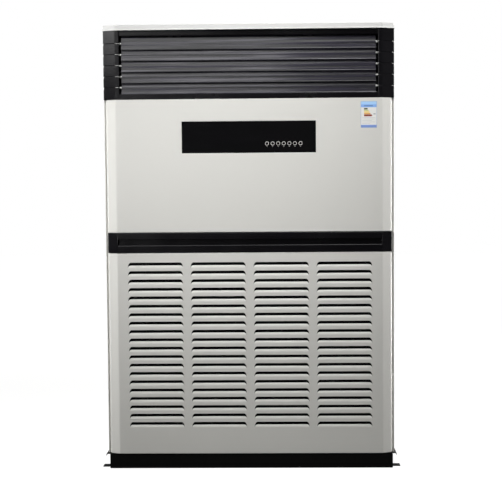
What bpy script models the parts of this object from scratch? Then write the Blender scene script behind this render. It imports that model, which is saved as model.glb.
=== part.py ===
import math

import bmesh
import bpy
from mathutils import Matrix, Vector

# Floor standing air conditioner: a sheet steel cabinet with a louvred intake panel below,
# a display panel above it and a black air outlet with five turning blades at the top.
# Metres, +Z up. The front faces -Y, the floor is at z = 0 and the origin is under the middle.

# Cabinet
CABINET_WIDTH = 1.210
CABINET_DEPTH = 0.420
BASE_HEIGHT = 0.063
INTAKE_HEIGHT = 0.849
BAND_HEIGHT = 0.085
DISPLAY_PANEL_HEIGHT = 0.555
OUTLET_HEIGHT = 0.285
COVER_RIM = 0.023
COVER_HEM = 0.005

# Stock, folds and gaps
SHEET = 0.0012
PLASTIC = 0.003
FOLD_RADIUS = 0.0026
FOLD_STEPS = 2
SEAT_GAP = 0.0003
FRONT_SEAM = 0.0016

# Front pieces: trays with a slanted strip down each side, seated on the side panels
TRAY_DEPTH = 0.031
EDGE_REVEAL = 0.011
CHAMFER_WIDTH = 0.040
CHAMFER_DEPTH = 0.016
FLANGE = 0.018

# Shadow groove rolled into the side panels' front flange, with a narrow lip outside it
SIDE_LIP = 0.0034
SIDE_GROOVE = 0.0035
SIDE_GROOVE_DEPTH = 0.006
SIDE_FOLD_RADIUS = 0.0016

# Intake louvres: tabs cut along an arch and bent inwards about their lower edge
LOUVRE_ROWS = 20
LOUVRE_COLUMNS = 4
LOUVRE_GAP = 0.0313
LOUVRE_SIDE_MARGIN = 0.043
LOUVRE_TOP_MARGIN = 0.0434
LOUVRE_BOTTOM_MARGIN = 0.1109
LOUVRE_CUT = 0.0208
LOUVRE_CORNER = 0.013
LOUVRE_BEND = math.radians(60)

# Filter behind the intake panel
FILTER_BAR = 0.006
FILTER_DEPTH = 0.008
FILTER_COLUMNS = 8
FILTER_ROWS = 6
FILTER_NET = 0.0008
FILTER_FIT = 0.0012

# Finger channel in the middle band
CHANNEL_HEIGHT = 0.030
CHANNEL_DEPTH = 0.016
CHANNEL_RISE = 0.027
CHANNEL_LIP = 0.0035

# Display window
WINDOW_WIDTH = 0.558
WINDOW_HEIGHT = 0.132
WINDOW_RISE = 0.330
WINDOW_FIT = 0.0005
WINDOW_FLANGE = 0.009
WINDOW_THICKNESS = 0.003
WINDOW_RIM = 0.0018

# Outlet frame
OUTLET_COLUMN_WIDTH = 0.068
OUTLET_SETBACK = 0.002
OUTLET_FRAME_DEPTH = 0.062
OUTLET_TOP_RAIL = 0.0246
OUTLET_BOTTOM_RAIL = 0.0217
COLUMN_WALL = 0.004
COLUMN_GROOVE = 0.003
BEARING_RIB = 0.012

# Outlet blades, closed and lapped like shingles at rest
BLADE_COUNT = 5
BLADE_LAP = 0.0112
BLADE_CLEARANCE = 0.0059
BLADE_END_GAP = 0.0082
BLADE_SETBACK = 0.024
WING_THICKNESS = 0.003
SPINE_RADIUS = 0.0046
PIN_RADIUS = 0.0024
PIN_COLLAR = 0.0036
PIN_IN_BLADE = 0.012
PIN_IN_COLUMN = 0.010
PIN_CLEARANCE = 0.0003
PIN_SIDES = 12

# Inside the outlet
PLENUM_WALL = 0.010
PLENUM_REAR_SPACE = 0.024
SILL_DEPTH = 0.085
VANE_COUNT = 11
VANE_DEPTH = 0.055
VANE_THICKNESS = 0.0025
VANE_SETBACK = 0.008
VANE_RAIL = 0.005
VANE_RAIL_DEPTH = 0.026
COIL_THICKNESS = 0.044
COIL_HEIGHT = 0.480
COIL_TILT = math.radians(30)
COIL_DROP = 0.018
COIL_END_SPACE = 0.038
COIL_PLATE = 0.002
COIL_PLATE_RIM = 0.010

# Rear panels
BEAD_ROWS = 3
BEAD_WIDTH = 0.024
BEAD_DEPTH = 0.005
BEAD_SIDE_MARGIN = 0.110
PORT_RADIUS = 0.045
PORT_FROM_SIDE = 0.150
PORT_RISE = 0.120
PORT_SIDES = 24
GROMMET_LIP = 0.007
GROMMET_WALL = 0.003

# Base
BASE_INSET = 0.008
BASE_SETBACK = 0.005
RAIL_DEPTH = 0.030
RAIL_STEEL = 0.0025
PAN_OVERHANG = 0.008
PAN_LIP = 0.008
FOOT_REACH = 0.034
FOOT_LENGTH = 0.040
FOOT_THICKNESS = 0.003
FOOT_HOLE_RADIUS = 0.006

# Levels and planes that follow from the sizes above
FRONT = -CABINET_DEPTH / 2
REAR = CABINET_DEPTH / 2
HALF_WIDTH = CABINET_WIDTH / 2
FRONT_HALF = HALF_WIDTH - EDGE_REVEAL
FLAT_HALF = FRONT_HALF - CHAMFER_WIDTH
SEAT_PLANE = FRONT + TRAY_DEPTH
INTAKE_LEVEL = BASE_HEIGHT
BAND_LEVEL = INTAKE_LEVEL + INTAKE_HEIGHT
DISPLAY_LEVEL = BAND_LEVEL + BAND_HEIGHT
OUTLET_LEVEL = DISPLAY_LEVEL + DISPLAY_PANEL_HEIGHT
COVER_LEVEL = OUTLET_LEVEL + OUTLET_HEIGHT
CABINET_HEIGHT = COVER_LEVEL + COVER_RIM
SIDE_TOP = CABINET_HEIGHT - FOLD_RADIUS - SEAT_GAP
REAR_SEAT = REAR - SHEET - SEAT_GAP

LOUVRE_WIDTH = (
    2 * FLAT_HALF - 2 * LOUVRE_SIDE_MARGIN - (LOUVRE_COLUMNS - 1) * LOUVRE_GAP
) / LOUVRE_COLUMNS
LOUVRE_PITCH = (
    INTAKE_HEIGHT - LOUVRE_BOTTOM_MARGIN - LOUVRE_TOP_MARGIN - LOUVRE_CUT
) / (LOUVRE_ROWS - 1)

OUTLET_FRONT = FRONT + OUTLET_SETBACK
OUTLET_REAR = OUTLET_FRONT + OUTLET_FRAME_DEPTH
OUTLET_INNER = HALF_WIDTH - OUTLET_COLUMN_WIDTH
BLADE_ROOM = OUTLET_HEIGHT - OUTLET_TOP_RAIL - OUTLET_BOTTOM_RAIL
BLADE_PITCH = (BLADE_ROOM - BLADE_LAP) / BLADE_COUNT
BLADE_TILT = math.asin((WING_THICKNESS + BLADE_CLEARANCE) / BLADE_PITCH)
BLADE_CHORD = (BLADE_PITCH + BLADE_LAP) / math.cos(BLADE_TILT)
BLADE_HALF_LENGTH = OUTLET_INNER - BLADE_END_GAP
BLADE_AXIS_Y = FRONT + BLADE_SETBACK
FIRST_AXIS = COVER_LEVEL - OUTLET_TOP_RAIL - (BLADE_PITCH + BLADE_LAP) / 2
BLADE_AXES = [FIRST_AXIS - row * BLADE_PITCH for row in range(BLADE_COUNT)]

PLENUM_FRONT = OUTLET_REAR + SEAT_GAP
PLENUM_FLOOR = OUTLET_LEVEL + OUTLET_BOTTOM_RAIL
PLENUM_TOP = COVER_LEVEL - SEAT_GAP
PLENUM_HALF = HALF_WIDTH - SHEET - SEAT_GAP

BASE_HALF = HALF_WIDTH - BASE_INSET
BASE_FRONT = FRONT + BASE_SETBACK
BASE_REAR = REAR - BASE_SETBACK
PAN_TOP = BASE_HEIGHT
RAIL_TOP = PAN_TOP - SHEET - SEAT_GAP

CUTTER_REACH = 0.010
MERGE_DISTANCE = 0.00001
SHARP_ANGLE = math.radians(35)
PLACES = {
    "X": lambda u, v, w: (w, u, v),
    "Y": lambda u, v, w: (u, w, v),
    "Z": lambda u, v, w: (u, v, w),
}


def clear_scene():
    for obj in list(bpy.data.objects):
        bpy.data.objects.remove(obj)


def new_collection(name):
    collection = bpy.data.collections.new(name)
    bpy.context.scene.collection.children.link(collection)
    return collection


clear_scene()
CABINET = new_collection("floor_standing_air_conditioner")
CUTTERS = new_collection("cutters")


def linear(channel):
    return channel / 12.92 if channel <= 0.04045 else ((channel + 0.055) / 1.055) ** 2.4


def finish(name, colour, roughness, metallic=0.0):
    """One material, from an sRGB hex colour."""
    material = bpy.data.materials.new(name)
    material.use_nodes = True
    shader = material.node_tree.nodes["Principled BSDF"]
    channels = [linear(int(colour[i : i + 2], 16) / 255) for i in (0, 2, 4)]
    shader.inputs["Base Color"].default_value = (*channels, 1.0)
    shader.inputs["Roughness"].default_value = roughness
    shader.inputs["Metallic"].default_value = metallic
    return material


def solid_object(name, bm, material):
    mesh = bpy.data.meshes.new(name)
    bm.to_mesh(mesh)
    bm.free()
    mesh.shade_smooth()
    mesh.set_sharp_from_angle(angle=SHARP_ANGLE)
    mesh.materials.append(material)
    obj = bpy.data.objects.new(name, mesh)
    CABINET.objects.link(obj)
    return obj


def cutter_object(name, bm):
    mesh = bpy.data.meshes.new(name)
    bm.to_mesh(mesh)
    bm.free()
    obj = bpy.data.objects.new(name, mesh)
    CUTTERS.objects.link(obj)
    obj.hide_render = True
    obj.display_type = "WIRE"
    return obj


def join(obj, other, operation):
    modifier = obj.modifiers.new(other.name, "BOOLEAN")
    modifier.operation = operation
    modifier.object = other


def thicken(obj, thickness, centred=False):
    """Sheet or moulding wall: the modelled surface is its outer face unless centred."""
    modifier = obj.modifiers.new("wall", "SOLIDIFY")
    modifier.thickness = thickness
    modifier.offset = 0.0 if centred else -1.0
    modifier.use_even_offset = True


def turned_object(name, profile, sides, material, ring=False):
    """A turned piece: (radius, height) points from its top down, turned about its own Z axis."""
    bm = bmesh.new()
    points = [bm.verts.new((radius, 0.0, height)) for radius, height in profile]
    for pair in zip(points, points[1:]):
        bm.edges.new(pair)
    if ring:
        bm.edges.new((points[-1], points[0]))
    obj = solid_object(name, bm, material)
    turn = obj.modifiers.new("turn", "SCREW")
    turn.axis = "Z"
    turn.angle = math.tau
    turn.steps = sides
    turn.render_steps = sides
    turn.use_merge_vertices = True
    turn.merge_threshold = MERGE_DISTANCE
    return obj


def add_box(bm, low, high):
    size = [b - a for a, b in zip(low, high)]
    centre = [(a + b) / 2 for a, b in zip(low, high)]
    place = Matrix.Translation(centre) @ Matrix.Diagonal((*size, 1.0))
    bmesh.ops.create_cube(bm, size=1.0, matrix=place)


def box(low, high):
    bm = bmesh.new()
    add_box(bm, low, high)
    return bm


def add_rod(bm, radius, start, end, axis, centre, sides):
    """A round bar along X, Y or Z from start to end, about the centre's other two coordinates."""
    turn = {
        "X": Matrix.Rotation(math.radians(90), 4, "Y"),
        "Y": Matrix.Rotation(math.radians(90), 4, "X"),
        "Z": Matrix.Identity(4),
    }[axis]
    middle = Vector(centre)
    middle["XYZ".index(axis)] = (start + end) / 2
    bmesh.ops.create_cone(
        bm,
        cap_ends=True,
        segments=sides,
        radius1=radius,
        radius2=radius,
        depth=abs(end - start),
        matrix=Matrix.Translation(middle) @ turn,
    )


def sweep(points, axis, start, end, closed):
    """A 2D outline carried along an axis: a prism if closed, else an open folded surface."""
    bm = bmesh.new()
    place = PLACES[axis]
    ring = [bm.verts.new(place(u, v, start)) for u, v in points]
    if closed:
        made = bmesh.ops.extrude_face_region(bm, geom=[bm.faces.new(ring)])["geom"]
    else:
        edges = [bm.edges.new(pair) for pair in zip(ring, ring[1:])]
        made = bmesh.ops.extrude_edge_only(bm, edges=edges)["geom"]
    moved = [v for v in made if isinstance(v, bmesh.types.BMVert)]
    bmesh.ops.translate(bm, vec=Vector(place(0, 0, end - start)), verts=moved)
    bmesh.ops.recalc_face_normals(bm, faces=bm.faces)
    return bm


def face_outwards(bm, direction):
    """Makes an open surface's normals agree, with its furthest face looking along direction."""
    bmesh.ops.recalc_face_normals(bm, faces=bm.faces)
    direction = Vector(direction)
    furthest = max(bm.faces, key=lambda face: face.calc_center_median().dot(direction))
    if furthest.normal.dot(direction) < 0:
        bmesh.ops.reverse_faces(bm, faces=bm.faces)


def fold_edges(bm, radius, beyond=0.0):
    """Rounds every bend sharper than the slanted strips' as a sheet brake or a mould does.

    Bends closer to the middle than beyond stay sharp."""
    sharp = [
        edge
        for edge in bm.edges
        if len(edge.link_faces) == 2
        and edge.calc_face_angle() > math.radians(40)
        and all(abs(vert.co.x) >= beyond for vert in edge.verts)
    ]
    bmesh.ops.bevel(
        bm,
        geom=sharp,
        offset=radius,
        segments=FOLD_STEPS,
        profile=0.5,
        affect="EDGES",
    )


def open_tray(outline, low, high, open_towards, radius=FOLD_RADIUS):
    """A prism's surface with the side that looks along open_towards left off."""
    bm = sweep(outline, "Z", low, high, closed=True)
    open_side = Vector(open_towards)
    gone = [face for face in bm.faces if face.normal.dot(open_side) > 0.99]
    bmesh.ops.delete(bm, geom=gone, context="FACES_ONLY")
    fold_edges(bm, radius)
    return bm


def front_outline(half, front, rear):
    """Plan of a front piece: flat in the middle, with a slanted strip down each side."""
    slant_end = front + CHAMFER_DEPTH * (half - FLAT_HALF) / CHAMFER_WIDTH
    return [
        (-half, rear),
        (-half, slant_end),
        (-FLAT_HALF, front),
        (FLAT_HALF, front),
        (half, slant_end),
        (half, rear),
    ]


def front_tray(low, high, radius=FOLD_RADIUS):
    outline = front_outline(FRONT_HALF, FRONT, SEAT_PLANE - SEAT_GAP)
    return open_tray(outline, low, high, (0, 1, 0), radius)


def edges_round(bm, loop):
    """The edges of a closed loop of vertices, made where they are missing."""
    pairs = zip(loop, loop[1:] + loop[:1])
    return [bm.edges.get(pair) or bm.edges.new(pair) for pair in pairs]


def pierce(bm, direction, loops):
    """Opens the largest flat face that looks along direction at each of the loops in it."""
    direction = Vector(direction)
    facing = [face for face in bm.faces if face.normal.dot(direction) > 0.999]
    flat = max(facing, key=lambda face: face.calc_area())
    edges = list(flat.edges)
    bmesh.ops.delete(bm, geom=[flat], context="FACES_ONLY")
    for loop in loops:
        edges += edges_round(bm, loop)
    bmesh.ops.triangle_fill(bm, use_beauty=True, edges=edges, normal=direction)


def slanted_rim(bm, outer, inner):
    """The four slanted faces between a rectangle and a smaller or deeper one."""
    for i in range(4):
        j = (i + 1) % 4
        bm.faces.new((outer[i], outer[j], inner[j], inner[i]))


def rectangle_loop(bm, low, high, y):
    corners = [(low[0], low[1]), (high[0], low[1]), (high[0], high[1]), (low[0], high[1])]
    return [bm.verts.new((x, y, z)) for x, z in corners]


# Finishes

IVORY_PAINT = finish("ivory_paint", "D6D5CF", 0.42)
SILVER_PAINT = finish("cover_paint", "E4E4E1", 0.42)
BLACK_PLASTIC = finish("black_plastic", "151517", 0.38)
BLADE_PLASTIC = finish("blade_plastic", "4B4B50", 0.34)
WHITE_NYLON = finish("white_nylon", "E9E9E6", 0.50)
WINDOW_ACRYLIC = finish("window_acrylic", "0B0B0D", 0.12)
BLACK_PAINT = finish("black_paint", "0E0E0E", 0.45)
GALVANISED = finish("galvanised_steel", "A9ACAE", 0.45, 0.8)
DUCT_FOAM = finish("duct_foam", "1B1B1C", 0.85)
COIL_FINS = finish("coil_fins", "B5B9BC", 0.40, 0.9)
FILTER_NYLON = finish("filter_nylon", "1C1D1F", 0.70)
RUBBER = finish("black_rubber", "121212", 0.75)


# Base: four folded rails, a pan on top of them and a bolting foot at each corner


def end_rail(name, outer, inner, open_towards):
    half = BASE_HALF
    low, high = sorted((outer, inner))
    outline = [(-half, low), (half, low), (half, high), (-half, high)]
    bm = open_tray(outline, 0.0, RAIL_TOP, open_towards)
    face_outwards(bm, [-value for value in open_towards])
    thicken(solid_object(name, bm, BLACK_PAINT), RAIL_STEEL)


def side_rail(name, side):
    """A channel between the end rails, open inwards, with the two feet turned out of it."""
    start = BASE_FRONT + RAIL_DEPTH + SEAT_GAP
    end = BASE_REAR - RAIL_DEPTH - SEAT_GAP
    outer = side * BASE_HALF
    inner = side * (BASE_HALF - RAIL_DEPTH)
    section = [(inner, 0.0), (outer, 0.0), (outer, RAIL_TOP), (inner, RAIL_TOP)]
    bm = sweep(section, "Y", start, end, closed=False)
    fold_edges(bm, FOLD_RADIUS)
    face_outwards(bm, (side, 0, 0))
    rail = solid_object(name, bm, BLACK_PAINT)
    thicken(rail, RAIL_STEEL)
    tip = side * (BASE_HALF + FOOT_REACH)
    root = side * (BASE_HALF - RAIL_STEEL - FOLD_RADIUS)
    feet, holes = bmesh.new(), bmesh.new()
    for foot_start in (start, end - FOOT_LENGTH):
        low = (min(root, tip), foot_start, 0.0)
        high = (max(root, tip), foot_start + FOOT_LENGTH, FOOT_THICKNESS)
        add_box(feet, low, high)
        centre = (side * (BASE_HALF + FOOT_REACH / 2), foot_start + FOOT_LENGTH / 2, 0)
        reach = FOOT_THICKNESS + CUTTER_REACH
        add_rod(holes, FOOT_HOLE_RADIUS, -CUTTER_REACH, reach, "Z", centre, 16)
    join(rail, cutter_object(name + "_feet", feet), "UNION")
    join(rail, cutter_object(name + "_foot_holes", holes), "DIFFERENCE")


def base_pan():
    """The floor of the cabinet, with a lip turned down along each side."""
    edge = HALF_WIDTH + PAN_OVERHANG
    section = [(-edge, PAN_TOP - PAN_LIP), (-edge, PAN_TOP), (edge, PAN_TOP), (edge, PAN_TOP - PAN_LIP)]
    bm = sweep(section, "Y", BASE_FRONT, BASE_REAR, closed=False)
    fold_edges(bm, FOLD_RADIUS)
    face_outwards(bm, (0, 0, 1))
    thicken(solid_object("base_pan", bm, BLACK_PAINT), SHEET)


end_rail("base_front_rail", BASE_FRONT, BASE_FRONT + RAIL_DEPTH, (0, 1, 0))
end_rail("base_rear_rail", BASE_REAR, BASE_REAR - RAIL_DEPTH, (0, -1, 0))
side_rail("base_left_rail", -1)
side_rail("base_right_rail", 1)
base_pan()


# Cabinet shell


def side_panel(name, side):
    """One folded sheet with a front and a rear flange, cut back where the outlet column wraps."""
    outer = side * HALF_WIDTH
    inner = side * (HALF_WIDTH - FLANGE)
    lip = side * (HALF_WIDTH - SIDE_LIP)
    groove = side * (HALF_WIDTH - SIDE_LIP - SIDE_GROOVE)
    groove_floor = SEAT_PLANE + SIDE_GROOVE_DEPTH
    section = [(inner, SEAT_PLANE), (groove, SEAT_PLANE), (groove, groove_floor)]
    section += [(lip, groove_floor), (lip, SEAT_PLANE), (outer, SEAT_PLANE)]
    section += [(outer, REAR_SEAT), (inner, REAR_SEAT)]
    bm = sweep(section, "Z", PAN_TOP + SEAT_GAP, SIDE_TOP, closed=False)
    fold_edges(bm, SIDE_FOLD_RADIUS, beyond=HALF_WIDTH - SEAT_GAP)
    face_outwards(bm, (side, 0, 0))
    panel = solid_object(name, bm, IVORY_PAINT)
    thicken(panel, SHEET)
    low = (min(outer, inner) - CUTTER_REACH, SEAT_PLANE - CUTTER_REACH, OUTLET_LEVEL)
    high = (max(outer, inner) + CUTTER_REACH, PLENUM_FRONT, CABINET_HEIGHT)
    join(panel, cutter_object(name + "_outlet_notch", box(low, high)), "DIFFERENCE")


def top_cover():
    """A shallow tray turned over, its rim outside the panels and hemmed along its lower edge."""
    wall = SHEET + SEAT_GAP
    half, front, rear = HALF_WIDTH + wall, FRONT - wall, REAR + wall
    outline = front_outline(half, front, rear)
    bm = open_tray(outline, COVER_LEVEL, CABINET_HEIGHT, (0, 0, -1))
    face_outwards(bm, (0, 0, 1))
    cover = solid_object("top_cover", bm, SILVER_PAINT)
    thicken(cover, SHEET)
    outline = front_outline(half + SHEET, front - SHEET, rear + SHEET)
    hem = sweep(outline, "Z", COVER_LEVEL, COVER_LEVEL + COVER_HEM, closed=True)
    caps = [face for face in hem.faces if abs(face.normal.z) > 0.99]
    bmesh.ops.delete(hem, geom=caps, context="FACES_ONLY")
    fold_edges(hem, FOLD_RADIUS)
    face_outwards(hem, (0, -1, 0))
    folded_edge = cutter_object("cover_hem", hem)
    thicken(folded_edge, SHEET * 1.5)
    join(cover, folded_edge, "UNION")


def press_bead(bm, centre_z, half_length, y, depth):
    """A long stiffening bead pressed into a sheet. Returns its outer loop."""
    half = BEAD_WIDTH / 2
    outer = rectangle_loop(bm, (-half_length, centre_z - half), (half_length, centre_z + half), y)
    slope = half * 0.6
    inner = rectangle_loop(
        bm,
        (slope - half_length, centre_z - half + slope),
        (half_length - slope, centre_z + half - slope),
        y + depth,
    )
    bm.faces.new(inner)
    slanted_rim(bm, outer, inner)
    return outer


def circle_loop(bm, centre_x, centre_z, radius, y, sides):
    turns = [math.tau * i / sides for i in range(sides)]
    return [
        bm.verts.new((centre_x + radius * math.cos(t), y, centre_z + radius * math.sin(t)))
        for t in turns
    ]


PORT_X = HALF_WIDTH - PORT_FROM_SIDE
PORT_Z = INTAKE_LEVEL + PORT_RISE


def rear_panel(name, low, high, with_port):
    """A flat sheet on the side panels' rear flanges, stiffened by pressed beads."""
    half = HALF_WIDTH - SHEET - SEAT_GAP
    bm = bmesh.new()
    border = rectangle_loop(bm, (-half, low), (half, high), REAR)
    bm.faces.new(border)
    bmesh.ops.recalc_face_normals(bm, faces=bm.faces)
    face_outwards(bm, (0, 1, 0))
    space = (high - low) / (BEAD_ROWS + 1)
    clear_of_port = PORT_Z + PORT_RADIUS + GROMMET_LIP + BEAD_WIDTH
    loops = []
    for row in range(BEAD_ROWS):
        z = low + space * (row + 1)
        if not with_port or z > clear_of_port:
            loops.append(press_bead(bm, z, half - BEAD_SIDE_MARGIN, REAR, -BEAD_DEPTH))
    if with_port:
        loops.append(circle_loop(bm, PORT_X, PORT_Z, PORT_RADIUS, REAR, PORT_SIDES))
    pierce(bm, (0, 1, 0), loops)
    face_outwards(bm, (0, 1, 0))
    thicken(solid_object(name, bm, GALVANISED), SHEET)


def pipe_grommet():
    """A turned rubber ring that grips the edge of the pipe port."""
    hold = SHEET / 2 + SEAT_GAP
    lip = hold + GROMMET_WALL
    seat = PORT_RADIUS - SEAT_GAP
    rim = PORT_RADIUS + GROMMET_LIP
    bore = seat - GROMMET_WALL
    profile = [
        (bore, lip),
        (rim, lip),
        (rim, hold),
        (seat, hold),
        (seat, -hold),
        (rim, -hold),
        (rim, -lip),
        (bore, -lip),
    ]
    grommet = turned_object("pipe_grommet", profile, PORT_SIDES, RUBBER, ring=True)
    grommet.location = (PORT_X, REAR - SHEET / 2, PORT_Z)
    grommet.rotation_euler = (math.radians(90), 0, 0)


side_panel("left_side_panel", -1)
side_panel("right_side_panel", 1)
top_cover()
rear_panel("rear_lower_panel", PAN_TOP + SEAT_GAP, DISPLAY_LEVEL - SEAT_GAP, with_port=True)
rear_panel("rear_upper_panel", DISPLAY_LEVEL, SIDE_TOP, with_port=False)
pipe_grommet()


# Intake panel: a folded tray with rows of lanced louvres


def louvre_outline():
    """The arch that a louvre is cut along: straight foot, rounded shoulders, straight top."""
    half = LOUVRE_WIDTH / 2
    steps = 3
    right = []
    for step in range(steps + 1):
        turn = math.radians(90) * step / steps
        x = half - LOUVRE_CORNER * (1 - math.cos(turn))
        right.append((x, LOUVRE_CUT * math.sin(turn)))
    return right + [(-x, z) for x, z in reversed(right)]


def press_louvre(bm, centre_x, foot_z, y):
    """Cuts one arch in the sheet and bends its tab inwards. Returns the cut's loop."""
    outline = louvre_outline()
    cut = [bm.verts.new((centre_x + x, y, foot_z + z)) for x, z in outline]
    run, rise = math.sin(LOUVRE_BEND), math.cos(LOUVRE_BEND)
    tab = [
        bm.verts.new((centre_x + x, y + z * run, foot_z + z * rise))
        for x, z in outline[1:-1]
    ]
    bm.faces.new([cut[-1], cut[0], *tab])
    return cut


def intake_panel():
    low = INTAKE_LEVEL + FRONT_SEAM / 2
    high = BAND_LEVEL - FRONT_SEAM / 2
    bm = front_tray(low, high)
    cuts = []
    for column in range(LOUVRE_COLUMNS):
        offset = column - (LOUVRE_COLUMNS - 1) / 2
        centre = offset * (LOUVRE_WIDTH + LOUVRE_GAP)
        for row in range(LOUVRE_ROWS):
            foot = INTAKE_LEVEL + LOUVRE_BOTTOM_MARGIN + row * LOUVRE_PITCH
            cuts.append(press_louvre(bm, centre, foot, FRONT))
    pierce(bm, (0, -1, 0), cuts)
    face_outwards(bm, (0, -1, 0))
    thicken(solid_object("intake_panel", bm, IVORY_PAINT), SHEET)


def air_filter():
    """A moulded grid seated in the intake panel's folds, with the net behind it."""
    half = FRONT_HALF - SHEET - FILTER_FIT
    low = INTAKE_LEVEL + FRONT_SEAM / 2 + SHEET + FILTER_FIT
    high = BAND_LEVEL - FRONT_SEAM / 2 - SHEET - FILTER_FIT
    net_rear = SEAT_PLANE - SEAT_GAP
    net_front = net_rear - FILTER_NET
    frame_front = net_front - SEAT_GAP - FILTER_DEPTH
    bm = bmesh.new()
    bm.faces.new(rectangle_loop(bm, (-half, low), (half, high), frame_front))
    face_outwards(bm, (0, -1, 0))
    cell_x = (2 * half - FILTER_BAR) / FILTER_COLUMNS
    cell_z = (high - low - FILTER_BAR) / FILTER_ROWS
    loops = []
    for column in range(FILTER_COLUMNS):
        for row in range(FILTER_ROWS):
            x = -half + FILTER_BAR + column * cell_x
            z = low + FILTER_BAR + row * cell_z
            corner = (x + cell_x - FILTER_BAR, z + cell_z - FILTER_BAR)
            loops.append(rectangle_loop(bm, (x, z), corner, frame_front))
    pierce(bm, (0, -1, 0), loops)
    face_outwards(bm, (0, -1, 0))
    thicken(solid_object("filter_frame", bm, FILTER_NYLON), FILTER_DEPTH)
    net = box((-half, net_front, low), (half, net_rear, high))
    solid_object("filter_net", net, FILTER_NYLON)


intake_panel()
air_filter()


# Middle band: a moulded strip with a finger channel above a small lip


def middle_band():
    low = BAND_LEVEL + FRONT_SEAM / 2
    high = DISPLAY_LEVEL - FRONT_SEAM / 2
    bm = front_tray(low, high)
    face_outwards(bm, (0, -1, 0))
    band = solid_object("middle_band", bm, BLACK_PLASTIC)
    thicken(band, PLASTIC)
    floor = BAND_LEVEL + CHANNEL_RISE
    ceiling = floor + CHANNEL_HEIGHT
    back = FRONT + CHANNEL_DEPTH
    half = FLAT_HALF - PLASTIC
    walls = box(
        (-half - PLASTIC / 2, FRONT + PLASTIC / 2, floor - PLASTIC),
        (half + PLASTIC / 2, back + PLASTIC, ceiling + PLASTIC),
    )
    join(band, cutter_object("channel_walls", walls), "UNION")
    hollow = box((-half, FRONT - CUTTER_REACH, floor), (half, back, ceiling))
    join(band, cutter_object("channel_hollow", hollow), "DIFFERENCE")
    lip = box(
        (-half - PLASTIC / 4, FRONT + PLASTIC / 4, floor - PLASTIC / 2),
        (half + PLASTIC / 4, FRONT + PLASTIC, floor + CHANNEL_LIP),
    )
    join(band, cutter_object("channel_lip", lip), "UNION")


middle_band()


# Display panel and its window


def display_panel():
    low = DISPLAY_LEVEL + FRONT_SEAM / 2
    high = OUTLET_LEVEL - FRONT_SEAM / 2
    bm = front_tray(low, high)
    sill = DISPLAY_LEVEL + WINDOW_RISE
    half = WINDOW_WIDTH / 2
    low_corner = (-half - WINDOW_RIM, sill - WINDOW_RIM)
    high_corner = (half + WINDOW_RIM, sill + WINDOW_HEIGHT + WINDOW_RIM)
    outer = rectangle_loop(bm, low_corner, high_corner, FRONT)
    inner = rectangle_loop(bm, (-half, sill), (half, sill + WINDOW_HEIGHT), FRONT + WINDOW_RIM)
    slanted_rim(bm, outer, inner)
    pierce(bm, (0, -1, 0), [outer])
    face_outwards(bm, (0, -1, 0))
    thicken(solid_object("display_panel", bm, IVORY_PAINT), SHEET)


def display_window():
    """A black acrylic pane: its face fills the pressed rim and its flange lies behind it."""
    sill = DISPLAY_LEVEL + WINDOW_RISE
    half = WINDOW_WIDTH / 2
    behind = FRONT + WINDOW_RIM + SHEET + SEAT_GAP
    flange = box(
        (-half - WINDOW_FLANGE, behind, sill - WINDOW_FLANGE),
        (half + WINDOW_FLANGE, behind + WINDOW_THICKNESS, sill + WINDOW_HEIGHT + WINDOW_FLANGE),
    )
    window = solid_object("display_window", flange, WINDOW_ACRYLIC)
    face = box(
        (WINDOW_FIT - half, FRONT + WINDOW_RIM, sill + WINDOW_FIT),
        (half - WINDOW_FIT, behind + WINDOW_THICKNESS / 2, sill + WINDOW_HEIGHT - WINDOW_FIT),
    )
    join(window, cutter_object("window_face", face), "UNION")


display_panel()
display_window()


# Outlet frame


def outlet_rail(name, section):
    bm = sweep(section, "X", SEAT_GAP - OUTLET_INNER, OUTLET_INNER - SEAT_GAP, closed=False)
    fold_edges(bm, FOLD_RADIUS)
    face_outwards(bm, (0, -1, 0))
    thicken(solid_object(name, bm, BLACK_PLASTIC), PLASTIC)


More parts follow.
